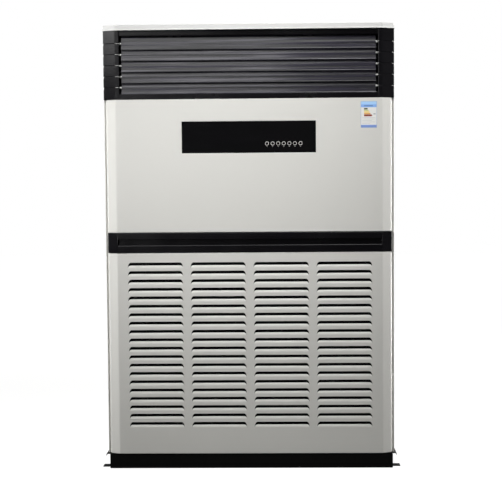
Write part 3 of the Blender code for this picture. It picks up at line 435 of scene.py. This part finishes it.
def lookForwards(obj):
    mesh = obj.data
    bm = bmesh.new()
    bm.from_mesh(mesh)
    bmesh.ops.recalc_face_normals(bm, faces=bm.faces)
    foremost = min(bm.faces, key=lambda f: f.calc_center_median().y)
    if foremost.normal.y > 0:
        bmesh.ops.reverse_faces(bm, faces=bm.faces)
    bm.to_mesh(mesh)
    bm.free()
    return obj


# Intake panel: one folded sheet. Each louvre is punched along an arch, and the flap that is left
# below the opening is rolled inwards.
intake = {
    "columns": 4, "rows": 20, "gap": 0.0313, "sideMargin": 0.043, "firstFoot": 0.1739, "pitch": 0.035468,
    "cut": 0.0247, "corner": 0.0138, "squareness": 0.95, "flap": 0.56, "bend": 46, "bendRadius": 0.0175,
    "turns": (0, 1.2, 2.4, 3.8, 5.2, 12, 20, 30, 40, 50, 60, 70, 80, 90),
}


def pressLouvre(bm, centre, foot, half):
    bend, radius = math.radians(intake["bend"]), intake["bendRadius"]
    arch = []
    for turn in map(math.radians, intake["turns"]):
        across = half - intake["corner"] * (1 - max(0.0, math.cos(turn)) ** intake["squareness"])
        arch.append((across, intake["cut"] * math.sin(turn) ** intake["squareness"]))
    cut = [[bm.verts.new((centre + side * x, front, foot + s)) for x, s in arch] for side in (1, -1)]
    tab = [[pair[0]] for pair in cut]
    for x, s in arch[1:]:
        s *= intake["flap"]
        turned = min(s / radius, bend)
        straight = s - radius * turned
        y = front + radius * (1 - math.cos(turned)) + straight * math.sin(turned)
        z = foot + radius * math.sin(turned) + straight * math.cos(turned)
        for row, side in zip(tab, (1, -1)):
            row.append(bm.verts.new((centre + side * x, y, z)))
    for i in range(len(arch) - 1):
        bm.faces.new((tab[1][i], tab[0][i], tab[0][i + 1], tab[1][i + 1]))
    return cut[0] + cut[1][::-1]


def makeIntakePanel():
    low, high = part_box("intake_panel")
    bm = foldedTray(frontOutline(high[0], front, high[1]), low[2], high[2], (0, 1, 0))
    columns, gap = intake["columns"], intake["gap"]
    width = (2 * slantStart - 2 * intake["sideMargin"] - (columns - 1) * gap) / columns
    loops = []
    for column in range(columns):
        centre = (column - (columns - 1) / 2) * (width + gap)
        for row in range(intake["rows"]):
            loops.append(pressLouvre(bm, centre, intake["firstFoot"] + row * intake["pitch"], width / 2))
    pierce(bm, loops)
    panel = newPiece("louvred_intake_panel", bm, ivoryCoat, instead=["intake_panel"])
    thicken(lookForwards(panel), sheetMetal["thickness"])


# Display panel with its pressed window rim, and the acrylic pane that fills it
display = {"half": 0.279, "sill": 1.327, "height": 0.132, "rim": 0.0018, "rimSteps": 4, "rimDepth": 0.0016,
           "fit": 0.0005, "pane": 0.0045, "arris": 0.0006}


def makeDisplayPanel():
    low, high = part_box("display_panel")
    bm = foldedTray(frontOutline(high[0], front, high[1]), low[2], high[2], (0, 1, 0))
    rim, steps = display["rim"], display["rimSteps"]
    rings = []
    for step in range(steps + 2):
        turn = math.radians(90) * min(step, steps) / steps
        out, deep = rim * (1 - math.sin(turn)), rim * (1 - math.cos(turn))
        deep += display["rimDepth"] if step > steps else 0
        left, right = -display["half"] - out, display["half"] + out
        bottom, top = display["sill"] - out, display["sill"] + display["height"] + out
        rings.append([bm.verts.new((x, front + deep, z)) for x, z in (
            (left, bottom), (right, bottom), (right, top), (left, top))])
    for outer, inner in zip(rings, rings[1:]):
        for i in range(4):
            j = (i + 1) % 4
            bm.faces.new((outer[i], outer[j], inner[j], inner[i]))
    pierce(bm, [rings[0]])
    panel = newPiece("display_panel_sheet", bm, ivoryCoat, instead=["display_panel"])
    thicken(lookForwards(panel), sheetMetal["thickness"])


def makeWindow():
    face = front + display["rim"]
    half, fit = display["half"] - display["fit"], display["fit"]
    low, high = display["sill"] + fit, display["sill"] + display["height"] - fit
    bm = bmesh.new()
    bar(bm, [(-half, low), (half, low), (half, high), (-half, high)], "Y", face, face + display["pane"])
    roundEdges(bm, display["arris"], 3, 60)
    settle(newPiece("window_pane", bm, windowAcrylic, instead=["display_window"]))


# Touch marks printed on the pane: a ring for each key and a short dash below it
keys = {"count": 7, "first": 0.0756, "pitch": 0.0232, "height": 1.3655, "radius": 0.0078, "line": 0.0016,
        "steps": 40, "dash": (0.0046, 0.0008), "drop": 0.0132, "ink": 0.00012}


def makeKeyMarks():
    face = front + display["rim"]
    bm = bmesh.new()
    for number in range(keys["count"]):
        x, steps = keys["first"] + number * keys["pitch"], keys["steps"]
        rings = []
        for radius in (keys["radius"], keys["radius"] - keys["line"]):
            rings.append([bm.verts.new((x + radius * math.cos(math.tau * i / steps), face - keys["ink"],
                                        keys["height"] + radius * math.sin(math.tau * i / steps)))
                          for i in range(steps)])
        for i in range(steps):
            j = (i + 1) % steps
            bm.faces.new((rings[0][i], rings[0][j], rings[1][j], rings[1][i]))
        halfLong, halfWide = keys["dash"][0] / 2, keys["dash"][1] / 2
        z = keys["height"] - keys["drop"]
        bm.faces.new([bm.verts.new((x + u * halfLong, face - keys["ink"], z + v * halfWide))
                      for u, v in ((-1, -1), (1, -1), (1, 1), (-1, 1))])
    marks = newPiece("window_key_marks", bm, greyInk)
    thicken(lookForwards(marks), keys["ink"] * 0.9)  # the ink stops just short of the pane


# Middle band: an extruded strip with a finger channel, between two moulded end blocks
band = {"half": 0.5510, "channelLow": 0.939, "channelHigh": 0.969, "channelDepth": 0.016, "lip": 0.0065,
        "lipWidth": 0.0062, "joint": 0.0006, "endEdge": 0.0012,
        "radii": (0, 0.0026, 0.0050, 0.0010, 0.0008, 0.002, 0.002, 0.0012, 0.0026, 0)}


def makeMiddleBand():
    low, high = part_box("middle_band")
    rear, lipTop = high[1], band["channelLow"] + band["lip"]
    back = front + band["channelDepth"]
    points = [(rear, low[2]), (front, low[2]), (front, lipTop), (front + band["lipWidth"], lipTop),
              (front + band["lipWidth"], band["channelLow"]), (back, band["channelLow"]),
              (back, band["channelHigh"]), (front, band["channelHigh"]), (front, high[2]), (rear, high[2])]
    bm = bmesh.new()
    bar(bm, roundedOutline(points, band["radii"], 6), "X", -band["half"], band["half"])
    settle(newPiece("band_channel", bm, blackAbs, instead=["middle_band"]))
    for side, name in ((-1, "left"), (1, "right")):
        inner, outer = side * (band["half"] + band["joint"]), side * high[0]
        slantEnd = front + sheetMetal["slantDepth"]
        bm = bmesh.new()
        plan = [(inner, rear), (inner, front), (side * slantStart, front), (outer, slantEnd), (outer, rear)]
        bar(bm, plan, "Z", low[2], high[2])
        bmesh.ops.recalc_face_normals(bm, faces=bm.faces)
        roundEdges(bm, band["endEdge"], 3, 15)
        settle(newPiece(f"band_end_{name}", bm, blackAbs, instead=["middle_band"]))


# Top cover: a shallow tray turned over, with its lower edge folded back as a hem
cover = {"hem": 0.0052, "hemThickness": 0.0018, "hemEdge": 0.0008, "cornerRadius": 0.003}


def makeTopCover():
    low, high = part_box("top_cover")
    thickness = sheetMetal["thickness"]
    half, face, rear = high[0] - thickness, low[1] + thickness, high[1] - thickness
    tray = foldedTray(frontOutline(half, face, rear), low[2], high[2], (0, 0, -1))
    # the tray takes the darker copy of the cover paint, which is painted shade
    piece = newPiece("cover_tray", tray, coverCoatShadedCopy, instead=["top_cover"])
    thicken(lookForwards(piece), thickness)
    bm = bmesh.new()
    bar(bm, frontOutline(high[0], low[1], high[1]), "Z", low[2], low[2] + cover["hem"])
    bmesh.ops.recalc_face_normals(bm, faces=bm.faces)
    bmesh.ops.delete(bm, geom=[f for f in bm.faces if abs(f.normal.z) > 0.99], context="FACES_ONLY")
    roundEdges(bm, cover["cornerRadius"], 4, 15)
    # the hem takes the paler copy of the cover paint, which is a painted highlight along its rolled edge
    hem = lookForwards(newPiece("cover_hem", bm, coverCoatLitCopy, instead=["top_cover"]))
    wall = hem.modifiers.new("fold", "SOLIDIFY")
    wall.thickness, wall.offset, wall.use_even_offset = cover["hemThickness"], -1, True
    fold = hem.modifiers.new("fold edge", "BEVEL")
    fold.width, fold.segments = cover["hemEdge"], 4
    fold.limit_method, fold.angle_limit = "ANGLE", math.radians(50)
    settle(hem)


# Outlet rails: moulded angles above and below the blades. The top one's face stands back and
# curves in to the first blade over its lowest part, rise high.
outletRail = {
    "wall": 0.003, "nose": 0.0026, "edge": 0.001, "recess": 0.012, "curve": 0.0012, "power": 1.6,
    "rise": 0.006, "clearance": 0.0008, "steps": 8,
}


def makeOutletRails():
    for name, side in (("outlet_top_rail", 1), ("outlet_bottom_rail", -1)):
        low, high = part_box(name)
        wall, nose, edge, rise = (outletRail[key] for key in ("wall", "nose", "edge", "rise"))
        face, ends, openEdge = low[1], (high[2], low[2]), edge
        if side > 0:
            face, openEdge = low[1] + outletRail["recess"], 0
            ends = (low[2] + outletRail["clearance"] + rise, high[2])
        points = roundedOutline(
            [(face, ends[0]), (face, ends[1]), (high[1], ends[1]), (high[1], ends[1] - wall * side),
             (face + wall, ends[1] - wall * side), (face + wall, ends[0])],
            [openEdge, nose, 0, 0, edge, openEdge], 4)
        if side > 0:
            curve = [(face + outletRail["curve"] * s ** outletRail["power"], ends[0] - rise * s)
                     for s in (step / outletRail["steps"] for step in range(1, outletRail["steps"] + 1))]
            points += [(y + wall, z) for y, z in curve] + curve[::-1]
        bm = bmesh.new()
        bar(bm, points, "X", low[0], high[0])
        settle(newPiece(name + "_moulding", bm, blackAbs, instead=[name]))


# Outlet columns: bearing blocks stacked with a joint at each blade's pins. Each joint shows the
# thin edge of its nylon bush, and the block below it has a clip notch at its outer corner. The
# white strip at each joint reaches further at the left, and at the right shows again between two
# distances from the outer edge: it is partly the bush and partly painted highlight, white nylon
# laid where the joints catch the light. A notch is (across, deep, tall), a bush (deep, tall), and
# cutPast is how far a cutter stands past the block.
column = {
    "bevel": 0.0009, "joint": 0.0013, "core": 0.0022, "outerCore": 0.0060, "coreGap": 0.001,
    "radii": (0, 0.0024, 0.0030, 0.0030, 0), "notch": (0.0040, 0.0100, 0.0090), "cutPast": (0.001, 0.004),
    "bush": (0.0080, 0.0009), "bushStart": 0.0004, "bushAndHighlightReach": (0.0160, 0.0034), "bushDepth": 0.0003,
    "bushEdge": 0.0002, "outerPaintedHighlight": (0.0042, 0.0092),
}
outlet = {"blades": 5, "firstAxis": 1.78405, "pitch": 0.0455, "lapDepth": 0.0089, "bladeHeight": 0.0567}
axes = [outlet["firstAxis"] - outlet["pitch"] * row for row in range(outlet["blades"])]


# a box between two corners, in any order
def block(bm, first, second):
    low, high = ([pick(pair) for pair in zip(first, second)] for pick in (min, max))
    plan = [(low[0], low[1]), (high[0], low[1]), (high[0], high[1]), (low[0], high[1])]
    bar(bm, plan, "Z", low[2], high[2])


def makeOutletColumn(name, side):
    low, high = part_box(name)
    inner, outer = (high[0], low[0]) if side < 0 else (low[0], high[0])
    face, rear = low[1], high[1]
    slant = sheetMetal["slantDepth"] / sheetMetal["slantWidth"]
    slantEnd = face + slant * (abs(outer) - slantStart)
    outline = [(inner, rear), (inner, face), (side * slantStart, face), (outer, slantEnd), (outer, rear)]
    levels = [low[2], *reversed(axes), high[2]]
    blocks, notches, bushesAndHighlights = bmesh.new(), bmesh.new(), bmesh.new()
    for bottom, top in zip(levels, levels[1:]):
        gap = column["joint"] / 2
        bar(blocks, roundedOutline(outline, column["radii"], 4), "Z",
            bottom + (gap if bottom != low[2] else 0), top - (gap if top != high[2] else 0))
    bmesh.ops.recalc_face_normals(blocks, faces=blocks.faces)
    roundEdges(blocks, column["bevel"], 3, 50)
    across, notchDeep, notchTall = column["notch"]
    past, pastFace = column["cutPast"]
    deep, tall = column["bush"]
    # painted highlight: the longer reach at the left stands for light caught at the joints
    sunk, reach = column["bushDepth"], column["bushAndHighlightReach"][side > 0]
    for axis in axes:
        block(notches, (outer + side * past, slantEnd - pastFace, axis + past),
              (outer - side * across, slantEnd + notchDeep, axis - notchTall))
        under, over = axis - tall / 2, axis + tall / 2
        block(bushesAndHighlights, (inner + side * column["bushStart"], face + sunk, under),
              (inner + side * reach, face + sunk + deep, over))
        # painted highlight: a white strip near the right column's outer edge
        if side > 0:
            path = [(outer - inwards, face + slant * (outer - inwards - slantStart) + sunk)
                    for inwards in column["outerPaintedHighlight"]]
            bar(bushesAndHighlights, path + [(x, y + deep) for x, y in path[::-1]], "Z", under, over)
    stack = newPiece(name + "_blocks", blocks, blackAbs, instead=[name])
    cutAway(stack, notches)
    core = bmesh.new()
    inset, outerInset, gap = column["core"], column["outerCore"], column["coreGap"]
    plan = [(inner + side * inset, rear), (inner + side * inset, face + deep + gap),
            (side * slantStart, face + deep + gap), (outer - side * outerInset, slantEnd + deep + gap),
            (outer - side * outerInset, rear)]
    bar(core, plan, "Z", low[2] + inset, high[2] - inset)
    settle(newPiece(name + "_core", core, blackAbs, instead=[name]))
    roundEdges(bushesAndHighlights, column["bushEdge"], 2, 50)
    settle(newPiece(name + "_bushes", bushesAndHighlights, whiteNylon))


# Outlet blades: one extruded section, round behind its pins and swelling a little in front of
# them, with two wings and a lip at the lower edge. Its small curves are shares of the wing.
blade = {"axisY": -0.186, "tilt": math.asin(outlet["lapDepth"] / outlet["pitch"]), "wing": 0.003,
         "spine": 0.0046, "swell": 0.0004, "swellHalf": 0.0095, "halfLength": 0.5288, "steps": 12}
blade["chord"] = outlet["bladeHeight"] / math.cos(blade["tilt"])


def bladeSection():
    half, wing, spine, steps = blade["chord"] / 2, blade["wing"] / 2, blade["spine"], blade["steps"]
    meet = math.asin(wing / spine)
    arc = [meet + (math.pi - 2 * meet) * step / steps for step in range(steps + 1)]
    hub = [(spine * math.sin(turn), spine * math.cos(turn)) for turn in arc]
    swell = [(wing + blade["swell"] * (1 + math.cos(math.pi * u)) / 2, -blade["swellHalf"] * u)
             for u in (2 * step / steps - 1 for step in range(steps + 1))]
    face = [(wing * 0.4, half), (wing * 0.85, half - wing * 0.5), (wing, half - wing * 1.2), *swell]
    face += [(wing, wing * 3.4 - half), (wing * 1.5, wing * 2.2 - half), (wing * 1.8, wing * 1.4 - half),
             (wing * 1.6, wing * 0.6 - half), (wing * 0.8, -half)]
    back = [(-wing * 0.6, -half), (-wing, wing - half)]
    back += [(-forward, up) for forward, up in reversed(hub)]
    back += [(-wing, half - wing), (-wing * 0.4, half)]
    return [(-forward, up) for forward, up in face + back]


def makeBlade(number, axis):
    turned = Matrix.Rotation(-blade["tilt"], 2)
    points = [turned @ Vector(point) for point in bladeSection()]
    points = [(blade["axisY"] + y, axis + z) for y, z in points]
    bm = bmesh.new()
    bar(bm, points, "X", -blade["halfLength"], blade["halfLength"])
    settle(newPiece(f"blade_{number}_extrusion", bm, bladeAbs, f"blade_{number}",
                    [f"outlet_blade_{number}"]), 30)


# Nylon pins: a stub in the blade, a collar in the gap and a shaft in the column
pin = {"shaft": 0.0024, "collar": 0.0036, "gap": 0.0082, "inColumn": 0.010, "inBlade": 0.012,
       "stub": 0.0017, "clear": (0.0003, 0.0006), "edge": 0.0004, "steps": 32}


def makePin(number, axis, name, side):
    shaft, collar, stub, edge, inBlade = (pin[key] for key in ("shaft", "collar", "stub", "edge", "inBlade"))
    collarStart, collarEnd = pin["clear"][0], pin["gap"] - pin["clear"][1]
    tip = pin["gap"] + pin["inColumn"]
    profile = [(0, tip), (shaft - edge, tip), (shaft, tip - edge), (shaft, collarEnd),
               (collar - edge, collarEnd), (collar, collarEnd - edge), (collar, collarStart + edge),
               (collar - edge, collarStart), (stub, collarStart), (stub, -inBlade), (0, -inBlade)]
    bm = bmesh.new()
    steps, rings = pin["steps"], []
    for radius, reach in profile:
        x = side * (blade["halfLength"] + reach)
        if radius == 0:
            rings.append([bm.verts.new((x, blade["axisY"], axis))] * steps)
        else:
            rings.append([bm.verts.new((x, blade["axisY"] + radius * math.cos(math.tau * i / steps),
                                        axis + radius * math.sin(math.tau * i / steps)))
                          for i in range(steps)])
    for upper, lower in zip(rings, rings[1:]):
        for i in range(steps):
            corners = []
            for vert in (upper[i], upper[i - 1], lower[i - 1], lower[i]):
                if vert not in corners:
                    corners.append(vert)
            bm.faces.new(corners)
    settle(newPiece(f"nylon_pin_{name}_{number}", bm, whiteNylon, f"blade_{number}",
                    [f"blade_pin_{name}_{number}"]))


# Energy rating sticker, generic: (left, top, width, height, point) of each printed field in mm
sticker = {
    "left": 0.4647, "top": 1.5362, "width": 66, "height": 109, "corner": 2, "film": 0.00015, "ink": 0.00012,
    "inks": {
        "border": ("8FA3C8", "9BADD0", [(0, 0, 66, 1.1, 0), (0, 107.9, 66, 1.1, 0), (0, 1.1, 1.1, 106.8, 0),
                                        (64.9, 1.1, 1.1, 106.8, 0)]),
        "sky": ("A4CEF8", "B0D6FA", [(1.1, 1.1, 63.8, 12, 0)]),
        "azure": ("84AEEC", "90B8F0", [(1.1, 13.1, 63.8, 2.9, 0), (1.1, 16, 12.9, 5, 0),
                                       (50, 16, 14.9, 5, 0), (1.1, 21, 63.8, 3.6, 0)]),
        "blue": ("5F86BC", "6C92C6", [(14, 16, 36, 5, 0)]),
        "steel": ("7896D6", "86A2DE", [(1.1, 97.5, 63.8, 10.4, 0)]),
        "olive": ("2E3620", "384028", [(13.3, 28, 13, 6, 3)]),
        "straw": ("CBC984", "D3D190", [(13.3, 35.2, 17, 5, 3)]),
        "yellow": ("F2D672", "F5DE82", [(13.3, 41.5, 21, 5.4, 3)]),
        "orange": ("E6A84C", "EAB25A", [(13.3, 48.1, 25, 5.2, 3)]),
        "red": ("8A3420", "94402C", [(13.3, 54.5, 31, 7.4, 3.4)]),
        "grey": ("9A9DA2", "A6A9AE", [(52, 50.5, 9.5, 4, 0), (6, 67, 54, 0.7, 0), (6, 73, 54, 0.7, 0),
                                      (6, 79, 40, 0.7, 0), (6, 85, 54, 0.7, 0), (6, 91, 32, 0.7, 0)]),
    },
}


def makeSticker():
    left, top, film = sticker["left"], sticker["top"], sticker["film"]
    width, height, corner = (sticker[key] / 1000 for key in ("width", "height", "corner"))
    bm = bmesh.new()
    right, low = left + width, top - height
    sheet = roundedOutline([(left, top), (right, top), (right, low), (left, low)], [corner] * 4, 5)
    bar(bm, sheet, "Y", front - film, front)
    settle(newPiece("rating_sticker_film", bm, whiteVinyl))
    for name, (pale, deep, fields) in sticker["inks"].items():
        bm = bmesh.new()
        for x, y, wide, tall, point in fields:
            x0, x1 = left + x / 1000, left + (x + wide) / 1000
            z0, z1 = top - y / 1000, top - (y + tall) / 1000
            outline = [(x0, z0), (x1, z0), (x1, z1), (x0, z1)]
            if point:
                outline.insert(2, (x1 + point / 1000, (z0 + z1) / 2))
            bar(bm, outline, "Y", front - film - sticker["ink"], front - film)
        ink = printedFilm(f"{name} ink, screen printed", pale, deep, 0.35)
        settle(newPiece(f"rating_sticker_{name}", bm, ink))


# Flange head screws that hold the rear panels
screws = {"x": 0.594, "heights": (0.10, 0.26, 0.42, 0.58, 0.74, 0.90, 1.06, 1.25, 1.44, 1.63, 1.82),
          "flange": 0.0052, "flangeHeight": 0.0008, "hex": 0.0038, "headHeight": 0.0024, "edge": 0.0003}


def makeScrews():
    bm = bmesh.new()
    for side in (-1, 1):
        for z in screws["heights"]:
            for radius, count, height in ((screws["flange"], 28, screws["flangeHeight"]),
                                          (screws["hex"], 6, screws["headHeight"])):
                turn = Matrix.Translation((side * screws["x"], height / 2 - front, z)) @ Matrix.Rotation(
                    math.radians(90), 4, "X")
                bmesh.ops.create_cone(bm, cap_ends=True, segments=count, radius1=radius, radius2=radius,
                                      depth=height, matrix=turn)
    roundEdges(bm, screws["edge"], 2, 40)
    settle(newPiece("rear_panel_screws", bm, zincScrew))


makeIntakePanel()
makeDisplayPanel()
makeWindow()
makeKeyMarks()
makeMiddleBand()
makeTopCover()
makeOutletRails()
makeOutletColumn("outlet_left_column", -1)
makeOutletColumn("outlet_right_column", 1)
for number, axis in enumerate(axes, start=1):
    makeBlade(number, axis)
    makePin(number, axis, "left", -1)
    makePin(number, axis, "right", 1)
makeSticker()
makeScrews()

print("camera, lights and floor")

view = {
    "place": (0.116, -5.2, 1.219), "turn": 1.264, "down": 3.324, "roll": -0.44,
    "pixels": 1197.8, "imageWidth": 502, "sensor": 36.0,
}


def makeCamera():
    turn, down, roll = [math.radians(view[key]) for key in ("turn", "down", "roll")]
    ahead = Vector((-math.sin(turn) * math.cos(down), math.cos(turn) * math.cos(down), -math.sin(down)))
    right = Vector((math.cos(turn), math.sin(turn), 0))
    up = right.cross(ahead)
    across = right * math.cos(roll) + up * math.sin(roll)
    above = up * math.cos(roll) - right * math.sin(roll)
    data = bpy.data.cameras.new("camera")
    data.sensor_width = view["sensor"]
    data.sensor_fit = "HORIZONTAL"
    data.lens = view["pixels"] * view["sensor"] / view["imageWidth"]
    camera = bpy.data.objects.new("camera", data)
    bpy.context.scene.collection.objects.link(camera)
    turned = Matrix((across, above, -ahead)).transposed().to_4x4()
    camera.matrix_world = Matrix.Translation(view["place"]) @ turned
    bpy.context.scene.camera = camera


softboxes = {
    "front, high": {"place": (-0.49, -1.6, 2.6), "aim": (0, -0.2, 1.4),
                    "size": (1.4, 0.4), "watts": 3.1, "spread": 100},
    "front, far": {"place": (-1.2, -2.6, 2.28), "aim": (0.1, -0.2, 1.35),
                   "size": (1.2, 0.6), "watts": 1.5, "spread": 60},
    "front, level": {"place": (-1.5, -3.0, 1.45), "aim": (0, -0.2, 1.0),
                     "size": (0.8, 0.5), "watts": 4.7, "spread": 75},
    "right, high": {"place": (0.7, -1.25, 3.1), "aim": (0.2, -0.2, 1.5),
                    "size": (1.4, 0.6), "watts": 6.6, "spread": 80},
    "overhead": {"place": (-0.35, -1.4, 3.4), "aim": (-0.1, -0.6, 0.2),
                 "size": (1.8, 0.8), "watts": 2.4, "spread": 60},
    "left strip": {"place": (-2.5, -0.35, 1.15), "aim": (-0.6, -0.2, 1.15),
                   "size": (0.5, 1.8), "watts": 38, "spread": 180},
    "right strip": {"place": (2.5, -0.25, 1.45), "aim": (0.6, -0.2, 1.45),
                    "size": (0.5, 1.6), "watts": 26, "spread": 180},
    "right edge": {"place": (2.3, 0.35, 0.8), "aim": (0.62, -0.62, 0.8),
                   "size": (0.4, 1.9), "watts": 10, "spread": 40},
    "left, small": {"place": (-2.1, -1.45, 2.15), "aim": (-0.6, -0.2, 1.75),
                    "size": (0.35, 0.4), "watts": 0.45, "spread": 60},
    "behind": {"place": (1.4, 3.4, 2.4), "aim": (0, 0.2, 1.0),
               "size": (2.2, 1.6), "watts": 50, "spread": 180},
    "top": {"place": (0.0, 0.9, 3.4), "aim": (0, 0.1, 1.8),
            "size": (1.6, 0.8), "watts": 6, "spread": 90},
}


def makeSoftboxes():
    for name, box in softboxes.items():
        data = bpy.data.lights.new(name, "AREA")
        data.shape = "RECTANGLE"
        data.size, data.size_y = box["size"]
        data.energy = box["watts"]
        data.spread = math.radians(box["spread"])
        lamp = bpy.data.objects.new(name, data)
        bpy.context.scene.collection.objects.link(lamp)
        lamp.location = box["place"]
        direction = Vector(box["aim"]) - Vector(box["place"])
        lamp.rotation_euler = direction.to_track_quat("-Z", "Y").to_euler()


room = {"ambient": 0.02, "frontGlow": 0.06}


# White to the camera. Gloss sees a white room with a dark side behind the camera.
def makeRoom():
    world = bpy.data.worlds.new("room")
    bpy.context.scene.world = world
    world.use_nodes = True
    tree = world.node_tree
    backdrop = tree.nodes["Background"]
    path = addNode(tree, "ShaderNodeLightPath", {}, {})
    place = addNode(tree, "ShaderNodeTexCoord", {}, {})
    split = addNode(tree, "ShaderNodeSeparateXYZ", {}, {"Vector": place.outputs["Generated"]})
    side = addNode(tree, "ShaderNodeMapRange", {"interpolation_type": "SMOOTHSTEP"}, {
        "Value": split.outputs["Y"], "From Min": -0.75, "From Max": 0.0,
        "To Min": room["frontGlow"], "To Max": 1.0})
    gloss = addNode(tree, "ShaderNodeMix", {"data_type": "FLOAT"}, {
        0: path.outputs["Is Glossy Ray"], 2: room["ambient"], 3: side.outputs["Result"]})
    seen = addNode(tree, "ShaderNodeMath", {"operation": "MAXIMUM"}, {
        0: path.outputs["Is Camera Ray"], 1: path.outputs["Is Transmission Ray"]})
    level = addNode(tree, "ShaderNodeMix", {"data_type": "FLOAT"}, {
        0: seen.outputs["Value"], 2: gloss.outputs[0], 3: 1.0})
    backdrop.inputs["Color"].default_value = (1, 1, 1, 1)
    tree.links.new(level.outputs[0], backdrop.inputs["Strength"])


floorPaper = {"half": 14.0, "pale": "828280", "deep": "7D7D7B", "lift": 0.9}


# Studio paper, rolled out. Gives a plain pale floor; the lift lets it read as white.
def makeFloor():
    material, tree, shader, place = newMaterial("studio paper, rolled", Specular_IOR_Level=0.0)
    fibre = addNode(tree, "ShaderNodeTexNoise", {}, {"Vector": place, "Scale": perMetre(5), "Detail": 4})
    paper = addNode(tree, "ShaderNodeMix", {"data_type": "RGBA"}, {
        0: fibre.outputs["Fac"], 6: linearColour(floorPaper["deep"]), 7: linearColour(floorPaper["pale"])})
    gloss = addNode(tree, "ShaderNodeMapRange", {}, {
        "Value": fibre.outputs["Fac"], "From Min": 0.3, "From Max": 0.7, "To Min": 0.85, "To Max": 0.95})
    path = addNode(tree, "ShaderNodeLightPath", {}, {})
    reach = addNode(tree, "ShaderNodeVectorMath", {"operation": "LENGTH"}, {"Vector": place})
    spread = addNode(tree, "ShaderNodeMapRange", {"interpolation_type": "SMOOTHSTEP"}, {
        "Value": reach.outputs["Value"], "From Min": 1.5, "From Max": 4.5,
        "To Min": floorPaper["lift"], "To Max": 1.0})
    lift = addNode(tree, "ShaderNodeMath", {"operation": "MULTIPLY"}, {
        0: path.outputs["Is Camera Ray"], 1: spread.outputs["Result"]})
    tree.links.new(paper.outputs[2], shader.inputs["Base Color"])
    tree.links.new(gloss.outputs["Result"], shader.inputs["Roughness"])
    shader.inputs["Emission Color"].default_value = (1, 1, 1, 1)
    tree.links.new(lift.outputs["Value"], shader.inputs["Emission Strength"])
    bm = bmesh.new()
    bmesh.ops.create_grid(bm, x_segments=1, y_segments=1, size=floorPaper["half"])
    mesh = bpy.data.meshes.new("floor")
    bm.to_mesh(mesh)
    bm.free()
    mesh.materials.append(material)
    floor = bpy.data.objects.new("floor", mesh)
    bpy.context.scene.collection.objects.link(floor)


makeCamera()
makeSoftboxes()
makeRoom()
makeFloor()
bpy.context.scene.view_settings.view_transform = "Standard"

print("done")
